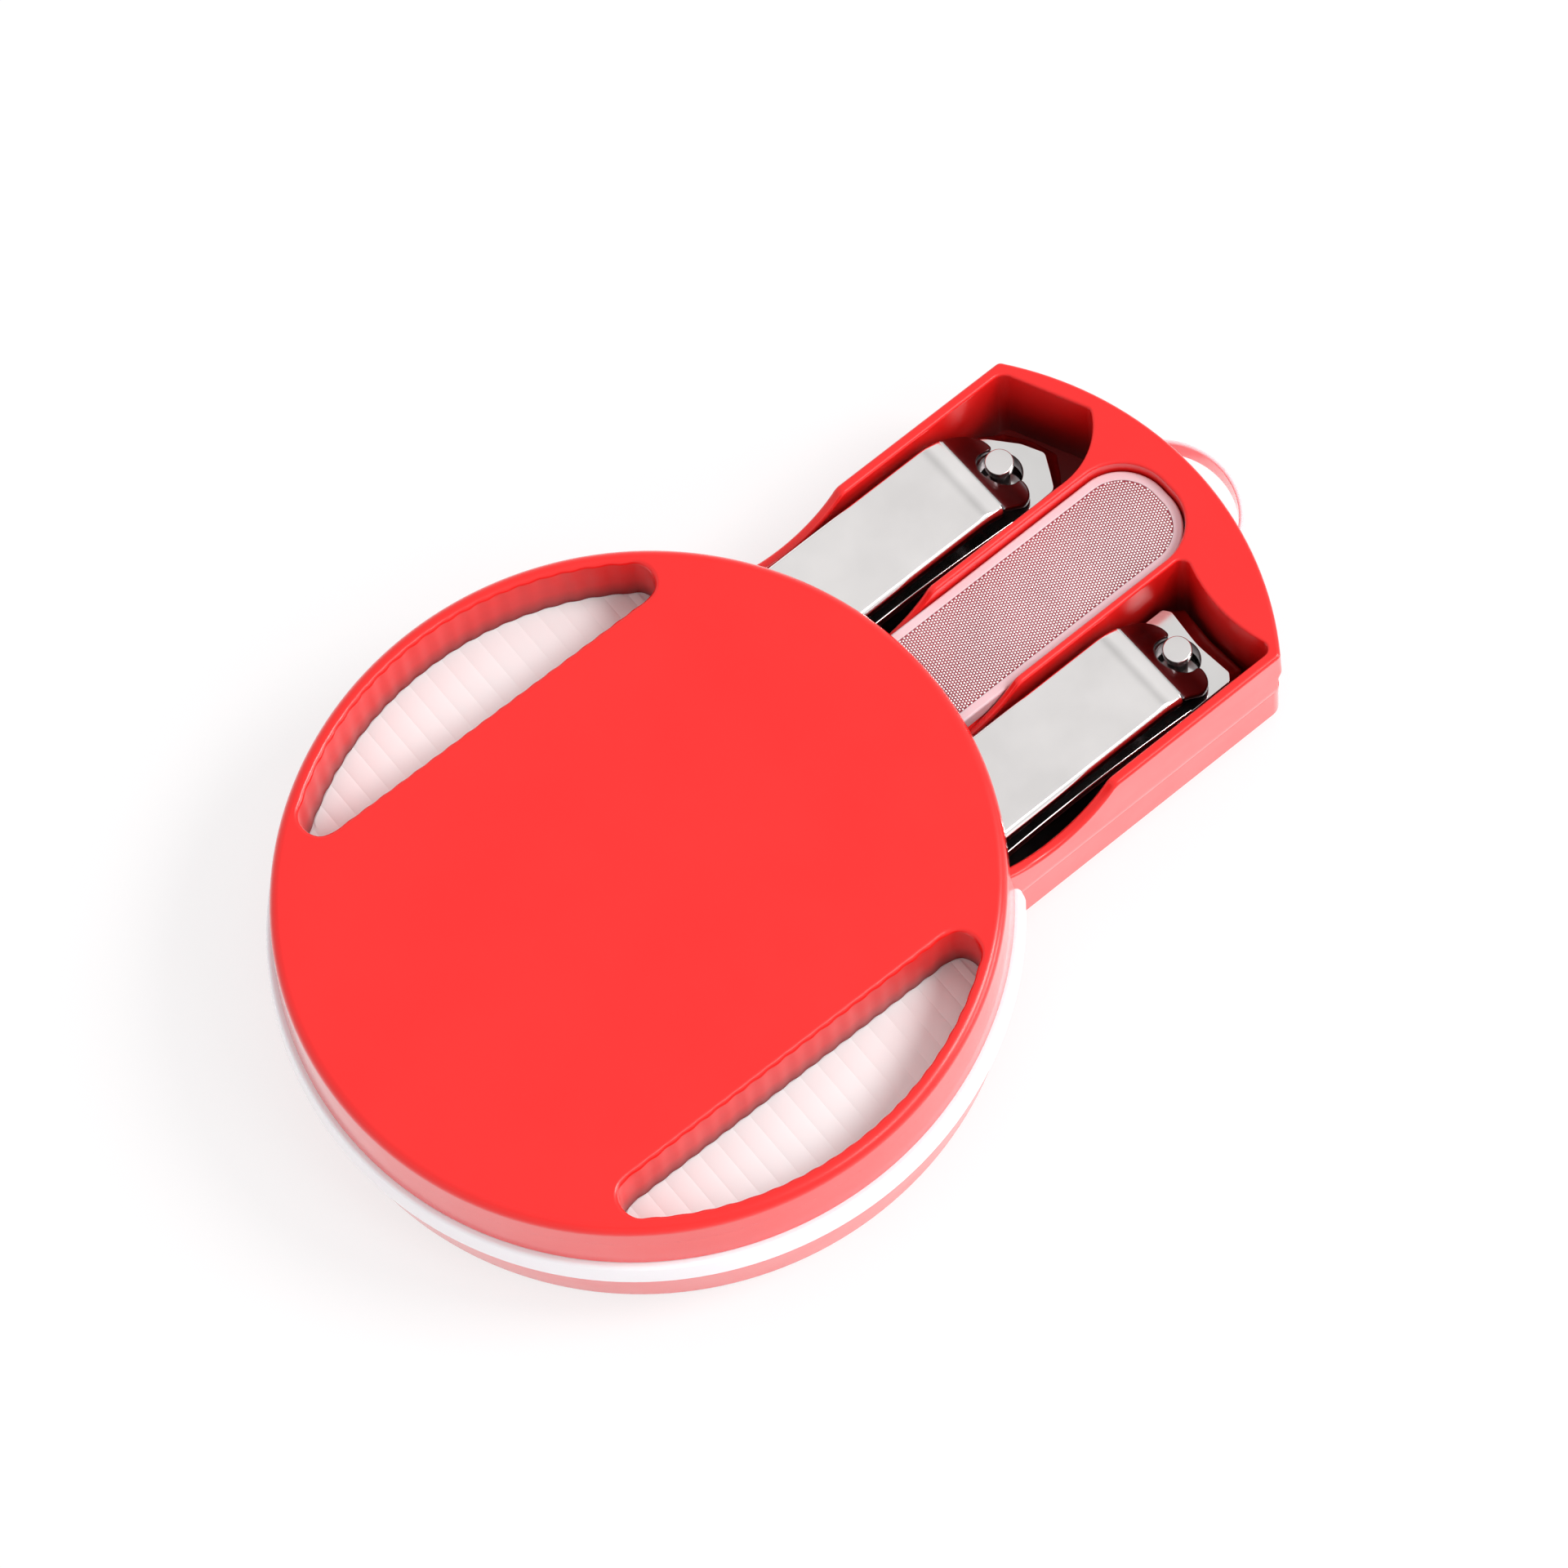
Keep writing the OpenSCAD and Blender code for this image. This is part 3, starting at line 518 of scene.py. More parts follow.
def make_deck(shell):
    """The ribbed deck under both windows."""
    gap = 0.2                # between the ribs and the windows' walls
    half = RIM_IN - gap
    r = WINDOW_CORNER - gap
    cx, cy = WINDOW_CX, WINDOW_CY
    reach = cx + r * math.cos(math.atan2(cy, cx)) * 0.999
    steps = np.arange(-int(reach / RIB_PITCH) - 1, int(reach / RIB_PITCH) + 2)
    fractions = np.array([-0.5, -0.485, -0.46, -0.42, -0.35, -0.25, -0.12, 0,
                          0.12, 0.25, 0.35, 0.42, 0.46, 0.485])
    xs = np.array([(k + f) * RIB_PITCH for k in steps for f in fractions])
    xs = np.concatenate([[-reach], xs[np.abs(xs) < reach], [reach]])
    for side in (1, -1):
        low, high = [], []
        for x in xs:
            if abs(x) > cx:
                bulge = math.sqrt(max(0.0, r * r - (abs(x) - cx) ** 2))
                y0, y1 = cy - bulge, cy + bulge
                y1 = min(y1, math.sqrt(half ** 2 - x * x))
            else:
                y0, y1 = WINDOW_Y + gap, math.sqrt(half ** 2 - x * x)
            low.append(y0)
            high.append(max(y0 + 0.01, y1))
        z = [lobe_height(x) for x in xs]
        rows = []
        for t in (0, 0.34, 0.67, 1):
            rows.append([(x, side * (a + (b - a) * t), h) for x, a, b, h in zip(xs, low, high, z)])
        edge = [[(p[0], p[1], BAND_TOP) for p in rows[0]], rows[0]]
        rim = [rows[-1], [(p[0], p[1], BAND_TOP) for p in rows[-1]]]
        slope = np.gradient(z, xs)
        # a valley has no single slope, so each side of it keeps its own
        for k in range(len(rows) - 1):
            for i in range(len(xs) - 1):
                quad = [rows[k][i], rows[k][i + 1], rows[k + 1][i + 1], rows[k + 1][i]]
                run = (z[i + 1] - z[i]) / (xs[i + 1] - xs[i])
                ends = [slope[i], slope[i + 1]]
                for e, at in enumerate((xs[i], xs[i + 1])):
                    if abs((at / RIB_PITCH + 0.5) % 1.0 - 0.5) > 0.49:
                        ends[e] = run
                normals = [Vector((-s, 0, 1)).normalized() for s in (ends[0], ends[1], ends[1], ends[0])]
                if side < 0:
                    quad.reverse()
                    normals.reverse()
                # the deck's top takes the second material, whose white is tinted against the red bounce
                # light as painted light
                shell.face(turned(quad), normals, 1)
        for pair in (edge, rim):
            ends = [turned(row) for row in pair]
            shell.sheet(ends if side > 0 else ends[::-1], closed=False)


def make_chassis(materials):
    shell = Shell()
    low = [(BAND_R - 0.02 - i, z) for i, z in round_down(BASE_TOP, 0.6, 5)]
    high = [(BAND_R - 0.42 - i, z) for i, z in round_up(BAND_TOP, 0.6, 5)]
    rings = c_rings(low + [(BAND_R - 0.2, 13.0)] + high, 0.8)
    shell.sheet(rings, first=(0, 0, -1), last=(0, 0, 1))
    shell.cap([rings[-1]])
    shell.cap([rings[0]], up=-1)
    make_deck(shell)
    add(shell, "white_frame", "chassis", materials)


def make_base(materials):
    shell = Shell()

    def radius(z):
        return BASE_R - 0.75 * (1 - z / BASE_TOP)

    low = [(radius(0.8) - i, z) for i, z in round_down(0, 0.8, 6)]
    foot = circle_rings(low + [(radius(1.2), 1.2)])
    shell.sheet(foot, first=(0, 0, -1))
    high = [(radius(BASE_TOP) - i, z) for i, z in round_up(BASE_TOP, 0.3, 3)]
    side = c_rings([(radius(1.2), 1.2), (radius(6), 6)] + high, 0.3)
    shell.sheet(side, last=(0, 0, 1))
    shell.cap([side[-1]])
    holes = [screw_hole(shell, x, y, 2.2, 0.0, 2.5) for x, y in CASE_SCREWS]
    shell.cap([foot[0]] + holes, up=-1)
    channel = (arc(0, 0, radius(1.2), -MOUTH_TURN, MOUTH_TURN, 2)
               + arc(0, 0, RIM_IN, 180 - CHANNEL_TURN, 180 + CHANNEL_TURN, 4))
    shell.cap([[(x, y, 1.2) for x, y in channel]])
    add(shell, "base", "base_shell", materials)


def tray_plan(r, hw, corner, back=BACK_X):
    """The tray's outline in its own frame: an arc of radius r at its end."""
    cy = hw - corner
    cx = math.sqrt((r - corner) ** 2 - cy ** 2)
    turn = math.degrees(math.atan2(cy, cx))
    return tidy(arc(cx, -cy, corner, -90, -turn, 12) + arc(0, 0, r, -turn, turn, 2)
                + arc(cx, cy, corner, turn, 90, 12)
                + arc(back + corner, cy, corner, 90, 180, 12)
                + arc(back + corner, -cy, corner, 180, 270, 12))


def make_tray_lower(materials):
    shell = Shell(TRAY_OPEN)
    plan = tray_plan(END_R - 0.05, LOWER_HW, 2.2)
    outer = wall_rings(plan, round_down(TRAY_Z, 0.6, 5) + [(0.05, 6.0)]
                       + round_up(PARTING_Z, 0.2, 3))
    shell.sheet(outer, first=(0, 0, -1), last=(0, 0, 1))
    inner = tidy(tray_plan(END_R - 1.35, LOWER_HW - 1.3, 0.9, BACK_X + 1.3), hole=True)
    walls = wall_rings(inner, [(0, FLOOR_TOP), (0, PARTING_Z)])
    shell.sheet(walls)
    shell.cap([outer[-1], walls[-1]])
    # the pockets' floor takes the second material, darkened as painted shade
    shell.cap([walls[0][::-1]], paint=1)
    holes = [screw_hole(shell, x, y, 2.2, TRAY_Z, TRAY_Z + 0.7) for x, y in TRAY_SCREWS]
    shell.cap([outer[0]] + holes, up=-1)
    add(shell, "tray_bottom", "tray_lower", materials)


SCOOP_R = 14.0               # the finger scoop across the tray
SCOOP_LOW = TRAY_TOP - 5.2
SHOULDER = 1.5               # round where the scoop meets the rim
GROOVE_Z = 11.4              # top of the finger groove's flat foot
LIP_Z = 14.8                 # where the lip above the groove is widest
GROOVE = 0.5                 # how far the groove lies in, and the lip out
LIP = 0.25
SCOOP_Z = SCOOP_LOW + SCOOP_R
SHOULDER_X = math.sqrt((SCOOP_R + SHOULDER) ** 2 - (SCOOP_Z - TRAY_TOP + SHOULDER) ** 2)
SCOOP_X = SHOULDER_X * SCOOP_R / (SCOOP_R + SHOULDER)


def rim_height(x):
    """Height of the tray's rim, with the finger scoop across it and the scoop's round shoulders."""
    x = abs(x)
    if x <= SCOOP_X:
        return SCOOP_Z - math.sqrt(SCOOP_R ** 2 - x * x)
    if x < SHOULDER_X:
        return TRAY_TOP - SHOULDER + math.sqrt(SHOULDER ** 2 - (x - SHOULDER_X) ** 2)
    return TRAY_TOP


def rim_slope(x):
    return (rim_height(x + 0.01) - rim_height(x - 0.01)) / 0.02


def left_pocket():
    """The left pocket: its slanted end meets the wide round on its inner corner in a blunt nose."""
    nx, ny = math.cos(LEFT_SLANT), math.sin(LEFT_SLANT)
    depth = nx * LEFT_REACH + ny * POCKET_Y
    outer_x = (depth - ny * POCKET_OUT) / nx
    r = 11.3
    cx, cy = 35.3, POCKET_IN + r
    meet = LEFT_SLANT - math.acos((depth - nx * cx - ny * cy) / r)
    wide = arc(cx, cy, r, -90, math.degrees(meet) - 3.2, 3)
    nose = (cx + r * math.cos(meet), cy + r * math.sin(meet), 1.1)
    return rounded([(POCKET_BACK, POCKET_IN, 1.3)] + [(x, y, 0) for x, y in wide]
                   + [nose, (outer_x, POCKET_OUT, 2.0), (POCKET_BACK, POCKET_OUT, 1.3)], 6)


def right_pocket():
    """The right pocket: its end bows in towards the clipper."""
    bow, corner_x = RIGHT_REACH - 1.21, RIGHT_REACH + 1.79
    return rounded([(POCKET_BACK, -POCKET_OUT, 1.3), (corner_x, -POCKET_OUT, 1.3),
                    (bow, -POCKET_Y, 24.0), (corner_x, -POCKET_IN, 1.3),
                    (POCKET_BACK, -POCKET_IN, 1.3)], 4)


def file_plan(grow):
    """The file's outline, drawn out by grow."""
    return bar(FILE_BACK - grow, FILE_FRONT + grow, -FILE_HW - grow, FILE_HW + grow,
               FILE_CORNER + grow, 5)


SCOOP_STATIONS = sorted(set(
    [round(s * v, 4) for s in (-1, 1) for v in
     list(np.linspace(0, SCOOP_X, 22)) + list(np.linspace(SCOOP_X, SHOULDER_X, 6))]
    + [-12.4, 12.4]))


def end_radius(z):
    """Radius of the tray's end: a lip above a finger groove."""
    if z <= GROOVE_Z:
        return END_R - GROOVE
    if z <= LIP_Z:
        t = (z - GROOVE_Z) / (LIP_Z - GROOVE_Z)
        return END_R - GROOVE + (GROOVE + LIP) * (3 * t * t - 2 * t ** 3)
    return END_R + LIP * (TRAY_TOP - z) / (TRAY_TOP - LIP_Z)


def rim_rings(points, foot, r, end=False, levels=()):
    """Rings of an upright wall from the height foot up to a round of radius r along the scoop."""
    normal, mitre = outward(points)
    p = np.array(points)
    top = np.array([rim_height(x) for x, _ in points])
    weight = np.clip(normal[:, 0] / 0.8, 0, 1) if end else np.zeros(len(p))
    weight = weight * weight * (3 - 2 * weight)
    rings = []

    def ring(inset, z):
        bulge = np.array([END_R - end_radius(h) for h in z]) * weight
        moved = p - normal * (mitre * (inset + bulge))[:, None]
        rings.append(np.column_stack([moved, z]))

    ring(0, np.full(len(p), foot))
    for level in levels:
        ring(0, np.minimum(np.full(len(p), level), top - r - 0.05 * (20 - level) / 10))
    for a in np.radians(np.linspace(0, 90, 6)):
        ring(r * (1 - math.cos(a)), top - r + r * math.sin(a))
    return rings


def make_tray_upper(materials):
    shell = Shell(TRAY_OPEN)
    plan = cut_at(tray_plan(END_R, TRAY_HW, 1.0), SCOOP_STATIONS)
    low = PARTING_Z + 0.02
    outer = rim_rings(plan, low, 0.55, end=True,
                      levels=(low + 0.2, 10.6, 11.4, 12.0, 12.6, 13.1, 13.7, 14.3, 14.8, 16.5))
    # a small round along the parting line
    first = outer[0].copy()
    normal, mitre = outward(plan)
    first[:, :2] -= normal * 0.2 * mitre[:, None]
    outer[0] = first
    shell.sheet(outer, first=(0, 0, -1))
    tops, foots = [outer[-1]], [outer[0]]
    liner = 0.08
    for outline in (left_pocket(), right_pocket()):
        outline = cut_at(tidy(outline, hole=True), SCOOP_STATIONS)
        walls = rim_rings(outline, FLOOR_TOP + 0.02, 0.45, levels=(PARTING_Z, 12.0))
        # the pockets' walls below the rounded rim take the second material: the red with painted shade
        # towards the foot
        shell.sheet(walls[:-5], paint=1)
        shell.sheet(walls[-6:], last=(0, 0, 1))
        tops.append(walls[-1])
        skin_high = wall_rings(outline, [(liner, low)])[0]
        skin_low = wall_rings(outline, [(liner, FLOOR_TOP + 0.02)])[0]
        shell.sheet([skin_high, skin_low])
        shell.cap([skin_low[::-1], walls[0]], up=-1, paint=1)
        foots.append(skin_high)
    bay = cut_at(tidy(file_plan(0.25), hole=True), SCOOP_STATIONS)
    walls = rim_rings(bay, FILE_Z - 0.2, 0.45)
    shell.sheet(walls)
    shell.cap([walls[0][::-1]])
    tops.append(walls[-1])
    slopes = []
    for ring in tops:
        slopes += [tuple(Vector((-rim_slope(x), 0, 1)).normalized()) for x, _, _ in ring]
    shell.cap(tops, normals=slopes)
    shell.cap(foots, up=-1)
    for side in (-1, 1):
        y = side * (POCKET_Y + 4)
        block(shell, (BACK_X, y - 3, TRAY_TOP - 1), (BACK_X + 1.4, y + 3, 22.05))
    add(shell, "tray_top", "tray_upper", materials)


def make_file(frame_materials, mesh_materials):
    shell = Shell(TRAY_OPEN)
    outer = wall_rings(tidy(file_plan(0)), round_down(FILE_Z, 0.3, 3) + [(0, 16.8)]
                       + round_up(FILE_TOP, 0.35, 4))
    shell.sheet(outer, first=(0, 0, -1), last=(0, 0, 1))
    recess = tidy(file_plan(-FILE_RIM), hole=True)
    walls = wall_rings(recess, [(0, FILE_TOP - 0.32)] + round_up(FILE_TOP, 0.12, 3))
    shell.sheet(walls, last=(0, 0, 1))
    shell.cap([outer[-1], walls[-1]])
    shell.cap([walls[0][::-1]])
    shell.cap([outer[0]], up=-1)
    add(shell, "file_frame", "file_body", frame_materials)

    shell = Shell(TRAY_OPEN)
    face = FILE_TOP - 0.1
    rings = wall_rings(tidy(file_plan(-FILE_RIM - 0.05)), [(0, FILE_TOP - 0.3), (0, face)])
    shell.sheet(rings)
    shell.cap([rings[1]])
    shell.cap([rings[0]], up=-1)
    # rows of tiny round teeth, each row set half a step on from the last
    pitch, tooth_r, sides = 0.45, 0.165, 6
    top_r, tooth_h, lean = 0.68 * tooth_r, 0.07, 0.4
    clear = 0.12             # kept free inside the rim
    corner, hw = FILE_CORNER - FILE_RIM - clear, FILE_HW - FILE_RIM - clear
    low_x, high_x = FILE_BACK + FILE_RIM + clear, FILE_FRONT - FILE_RIM - clear
    turn = [(math.cos(a), math.sin(a)) for a in np.linspace(0, 2 * math.pi, sides, endpoint=False)]
    row = 0
    x = low_x
    while x < high_x:
        y = -math.floor(hw / pitch) * pitch + (pitch / 2 if row % 2 else 0)
        while y < hw:
            dx = max(low_x + corner - x, x - (high_x - corner), 0)
            dy = max(abs(y) - (hw - corner), 0)
            if math.hypot(dx, dy) < corner:
                low = [(x + tooth_r * c, y + tooth_r * s, face) for c, s in turn]
                high = [(x + top_r * c, y + top_r * s, face + tooth_h) for c, s in turn]
                for i in range(sides):
                    j = (i + 1) % sides
                    a, b = turn[i], turn[j]
                    shell.face((low[i], low[j], high[j], high[i]),
                               ((*a, 1), (*b, 1), (b[0] * lean, b[1] * lean, 1),
                                (a[0] * lean, a[1] * lean, 1)), 1)
                shell.face(high, [(c * lean, s * lean, 1) for c, s in turn], 1)
            y += pitch
        x += pitch * math.sqrt(3) / 2
        row += 1
    add(shell, "file_mesh", "file_plate", mesh_materials)


def make_loop(materials):
    shell = Shell(TRAY_OPEN)
    loop_r, loop_x, bead_x = 11.7, 43.9, 2.4
    low, high = PARTING_Z + 0.2, PARTING_Z + 3.8
    section = bar(-0.3, 0.3, low, high, 0.27, 22.5)
    bend = math.degrees(math.acos(bead_x / loop_r))
    rings = []
    for a in np.radians(np.linspace(-bend, bend, 80)):
        rings.append([(loop_x + (loop_r + s) * math.cos(a), (loop_r + s) * math.sin(a), z)
                      for s, z in section])
    shell.sheet(rings)
    for side in (-1, 1):
        centre = (loop_x + bead_x, side * loop_r * math.sin(math.radians(bend)))
        lathe(shell, [[(0, low), (0.8, low)] + [(1 - i, z) for i, z in round_down(low, 0.2, 3)]
                      + [(1 - i, z) for i, z in round_up(high, 0.2, 3)] + [(0, high)]], centre, 24)
    add(shell, "loop", "pull_loop", materials)


# ---------- clippers ----------

LEVER_HW = 7.15
LEVER_T = 1.0
LEVER_TOP = 11.0             # above the clipper's middle plane
FLANGE_H = 2.3
NOSE_X = 33.21
LEVER_TAIL = NOSE_X - 50.0
FRONT_UNDER = 3.7            # the arms' flat front, above the clipper's middle plane
CHANNEL_END = 27.2           # where the side flanges stop and the flat fork goes on
HOLE_R = 3.2                 # the hole in the upper arm, and the fork's round slot
BEND_FROM = 22.8             # where the lever starts to slope down
# the slope at some places along the lever: (x, degrees)
FORK_TILTS = ((BEND_FROM, 0), (24.1, 9), (25.2, 20), (27.2, 31), (27.9, 44), (30.6, 44.5), (33.3, 14))
BEND_XS = np.linspace(BEND_FROM, NOSE_X, 43)
BEND_TILTS = np.radians(np.interp(BEND_XS, *zip(*FORK_TILTS)))
BEND_TILTS = np.convolve(np.pad(BEND_TILTS, 1, "edge"), (0.25, 0.5, 0.25), "valid")
BEND_ZS = LEVER_TOP - np.concatenate(
    [[0], np.cumsum(np.diff(BEND_XS) * (np.tan(BEND_TILTS[1:]) + np.tan(BEND_TILTS[:-1])) / 2)])


def lever_path():
    """The lever's top line from its tail to the end of its flanges: (x, z, flange height)."""
    path = []
    for a in np.radians(np.linspace(90, 0, 9)):
        path.append((LEVER_TAIL + 14 * (1 - math.sin(a)), LEVER_TOP - 2.2 * (1 - math.cos(a)),
                     FLANGE_H))
    path += [(x, LEVER_TOP, FLANGE_H) for x in np.linspace(0, BEND_FROM - 0.3, 8)]
    for x in np.linspace(BEND_FROM, CHANNEL_END, 10):
        t = (x - BEND_FROM) / (CHANNEL_END - BEND_FROM)
        path.append((x, np.interp(x, BEND_XS, BEND_ZS), FLANGE_H - 0.3 * t * t))
    return path


def channel_section(hw, height):
    """The lever's cross-section, an open channel: (across, depth below the top), closed outline."""
    t = LEVER_T
    outline = [(hw, -height, 0.2), (hw, 0, 0.5), (-hw, 0, 1.0), (-hw, -height, 0.2),
               (-hw + t, -height, 0.2), (-hw + t, -t, 0.4), (hw - t, -t, 0.4), (hw - t, -height, 0.2)]
    return rounded(outline, count=6)


def make_lever(name, node, y, materials):
    shell = Shell(TRAY_OPEN, y, CLIP_Z)
    path = lever_path()
    rings = []
    for k, (x, z, height) in enumerate(path):
        a = path[max(0, k - 1)]
        b = path[min(len(path) - 1, k + 1)]
        ahead = Vector((b[0] - a[0], b[1] - a[1])).normalized()
        up = Vector((-ahead.y, ahead.x))
        # the tail's corners are round in plan
        gone = min(1.99, max(0.0, LEVER_TAIL + 2.0 - x))
        hw = LEVER_HW - (2.0 - math.sqrt(4.0 - gone ** 2)) * 0.75
        ring = []
        for across, depth in channel_section(hw, height):
            # the flanges stand straight down, however the top bends
            bent = max(depth, -LEVER_T)
            ring.append((x + up.x * bent, across, z + up.y * bent + (depth - bent)))
        rings.append(ring)
    # the top and its round edges are plain steel; the flanges are in the dark steel, which is painted
    # shade and reflection
    bright = {4, 5, *range(7, 20)}
    shell.sheet(rings[::-1], paint=[0 if i in bright else 1 for i in range(len(rings[0]))])
    for ring, out in ((rings[0], -1), (rings[-1], 1)):
        fan_end(shell, ring, out)
    fork(shell)
    add(shell, name, node, materials)


def fan_end(shell, ring, out):
    """Closes the channel's end. The outline has as many points on its outside as on its inside."""
    half = len(ring) // 2
    outer = ring[:half]
    inner = ring[half:][::-1]
    for i in range(half - 1):
        quad = [outer[i], outer[i + 1], inner[i + 1], inner[i]]
        if out < 0:
            quad.reverse()
        shell.face(quad, [(out, 0, 0)] * 4)


def fork(shell):
    """The lever's fork: it slopes down to two round lobes, with a round slot about the pin. It is all in
    the dark steel: painted shade and reflection.
    """
    hw, back = LEVER_HW - 0.1, CHANNEL_END - 0.4
    slot = arc(PIN_X, 0, HOLE_R, -80, -280, 8)
    lobe = rounded([(back, -hw, 0), (NOSE_X, -hw, 3.3), (NOSE_X, -3.05, 0.6),
                    (PIN_X + 0.66, -3.12, 0)], 10)
    plan = lobe + slot + [(x, -y) for x, y in reversed(lobe)]
    stations = [round(x, 5) for x in BEND_XS[(BEND_XS > back + 0.3) & (BEND_XS < NOSE_X - 0.35)]]
    plan = tidy(cut_at(plan, stations))
    rings = []
    for inset, depth in ((0.2, LEVER_T), (0, LEVER_T - 0.2), (0, 0.25), (0.03, 0.14), (0.09, 0.06),
                         (0.17, 0.015), (0.25, 0)):
        ring = wall_rings(plan, [(inset, -depth - 0.01)])[0]
        ring[:, 2] = ring[:, 2] / np.cos(np.interp(ring[:, 0], BEND_XS, BEND_TILTS))
        ring[:, 2] += np.interp(ring[:, 0], BEND_XS, BEND_ZS)
        rings.append(ring)
    shell.sheet(rings, paint=1)
    for ring, up in ((rings[-1], 1), (rings[0], -1)):
        ring = cut_ring(ring, stations)
        tilts = np.interp(ring[:, 0], BEND_XS, BEND_TILTS)
        shell.cap([ring], up=up, normals=[(up * math.sin(t), 0, up * math.cos(t)) for t in tilts],
                  stations=stations, paint=1)


ARM_HW = 7.2
ARM_T = 1.8
ARCH_H = 5.2                 # top of the arms' arch, above the clipper's middle plane
ARCH_FROM = RIVET_X + 4
ARCH_TO = PIN_X - 3.6
JAW_X = 38.3
JAW_GAP = 1.6
TAIL_GAP = 0.4


def arm_under(x):
    """Height of an arm's underside: a flat tail, an arch and a flat front."""
    u = min(1.0, max(0.0, (x - ARCH_FROM) / (ARCH_TO - ARCH_FROM)))
    low, high = TAIL_GAP / 2, FRONT_UNDER - ARM_T
    bow = ARCH_H - ARM_T - (low + high) / 2
    return low + (high - low) * (1 - math.cos(math.pi * u)) / 2 + bow * math.sin(math.pi * u)


def jaw_plans(pointed):
    """A jaw's flat top and its cutting lip: (x, y, radius) corners that match one to one."""
    hw, back = ARM_HW, ARCH_TO
    if not pointed:
        flat = [(back, -hw, 0), (JAW_X - 3, -hw, 0.8), (JAW_X - 2.2, 1.1 - hw, 0.8),
                (JAW_X - 2.8, 0, 12), (JAW_X - 2.2, hw - 1.1, 0.8), (JAW_X - 3, hw, 0.8), (back, hw, 0)]
        lip = [(back, -hw, 0), (JAW_X - 1.2, -hw, 0.7), (JAW_X, 1.2 - hw, 0.6),
               (JAW_X - 0.4, 0, 12), (JAW_X, hw - 1.2, 0.6), (JAW_X - 1.2, hw, 0.7), (back, hw, 0)]
        return flat, lip
    tip = JAW_X + 2.2
    flat = [(back, -hw, 0), (JAW_X - 2.3, -hw + 0.2, 1.2), (JAW_X - 0.9, -4.4, 2.0),
            (tip - 1.75, -1.7, 1.1), (JAW_X - 1.2, 1.6, 3.0), (JAW_X - 4.6, 5.6, 4.0),
            (JAW_X - 7.2, hw, 1.5), (back, hw, 0)]
    lip = [(back, -hw, 0), (JAW_X - 1.2, -hw, 0.9), (JAW_X + 0.5, -4.9, 1.5),
           (tip, -2.0, 0.9), (JAW_X + 0.9, 1.9, 1.5), (JAW_X - 1.4, 5.3, 1.5),
           (JAW_X - 4.2, hw, 1.0), (back, hw, 0)]
    return flat, lip


def make_arm(name, node, y, pointed, below, materials):
    shell = Shell(TRAY_OPEN, y, CLIP_Z)
    shell.mirrored = below
    xs = [TAIL_X] + [TAIL_X + 3 - 3 * math.cos(a) for a in np.radians((15, 30, 45, 60, 75, 90))]
    xs += list(np.linspace(ARCH_FROM, ARCH_TO, 36)) + [ARCH_TO + 0.3]
    rings = []
    for x in xs:
        gone = max(0.0, TAIL_X + 3 - x)
        hw = ARM_HW - 3 + math.sqrt(max(0.0, 9 - gone * gone))
        low = arm_under(x) - (0.03 if x > ARCH_TO else 0)
        rings.append([(x, across, z) for across, z in bar(-hw, hw, low, low + ARM_T, 0.3, count=3)])
    shell.sheet(rings)
    for ring, out in ((rings[0], -1), (rings[-1], 1)):
        fan = list(ring) if out > 0 else list(ring)[::-1]
        shell.face(fan, [(out, 0, 0)] * len(fan))
    flat, lip = jaw_plans(pointed)
    flat = np.array(rounded(flat, count=6))
    lip = np.array(rounded(lip, count=6))

    def level(plan, inset, z):
        normal, mitre = outward([tuple(p) for p in plan])
        return level_ring(plan - normal * (mitre * inset)[:, None], z)

    top, lip_top = FRONT_UNDER, JAW_GAP / 2 + 0.35
    rings = [level(lip, 0.25, JAW_GAP / 2), level(lip, 0, JAW_GAP / 2 + 0.12),
             level(lip, 0, lip_top)]
    # the bevel between the lip and the flat top is hollow ground
    for t in (0.15, 0.35, 0.55, 0.75, 0.9):
        plan = lip + (flat - lip) * (t ** 0.75)
        rings.append(level(plan, 0, lip_top + (top - 0.12 - lip_top) * t))
    rings += [level(flat, 0, top - 0.12), level(flat, 0.04, top - 0.035), level(flat, 0.12, top)]
    shell.sheet(rings, last=(0, 0, 1))
    hole_r = 1.47 if below else HOLE_R
    hole = tidy(arc(PIN_X, 0, hole_r, 0, 354, 6), hole=True)
    walls = wall_rings(hole, [(0, JAW_GAP / 2)] + round_up(top, 0.12, 2))
    # the hole's wall is in the dark steel: painted shade
    shell.sheet(walls, last=(0, 0, 1), paint=1)
    shell.cap([rings[-1], walls[-1]])
    shell.cap([rings[0], walls[0]], up=-1)
    add(shell, name, node, materials)


def make_pin(name, node, y, materials):
    shell = Shell(TRAY_OPEN, y, CLIP_Z)
    foot_r, shaft_r, neck_r, head_r = 2.35, 1.45, 1.8, 2.05
    top = FRONT_UNDER
    head, foot = top + 3.7, -top - 0.7
    lathe(shell, [
        [(0, foot)] + [(foot_r - i, z) for i, z in round_down(foot, 0.2, 3)] + [(foot_r, -top)],
        [(foot_r, -top), (shaft_r, -top)],
        [(shaft_r, -top), (shaft_r, top + 1.5)],
        [(shaft_r, top + 1.5), (neck_r - 0.05, top + 1.9), (neck_r, top + 2.3)],
        [(neck_r, top + 2.3), (head_r, top + 2.5)],
        [(head_r, top + 2.5), (head_r, head - 0.3)]
        + [(head_r - i, z) for i, z in round_up(head, 0.22, 4)]
        + [(1.0, head + 0.02), (0, head + 0.03)]], (PIN_X, 0), 64)
    add(shell, name, node, materials)


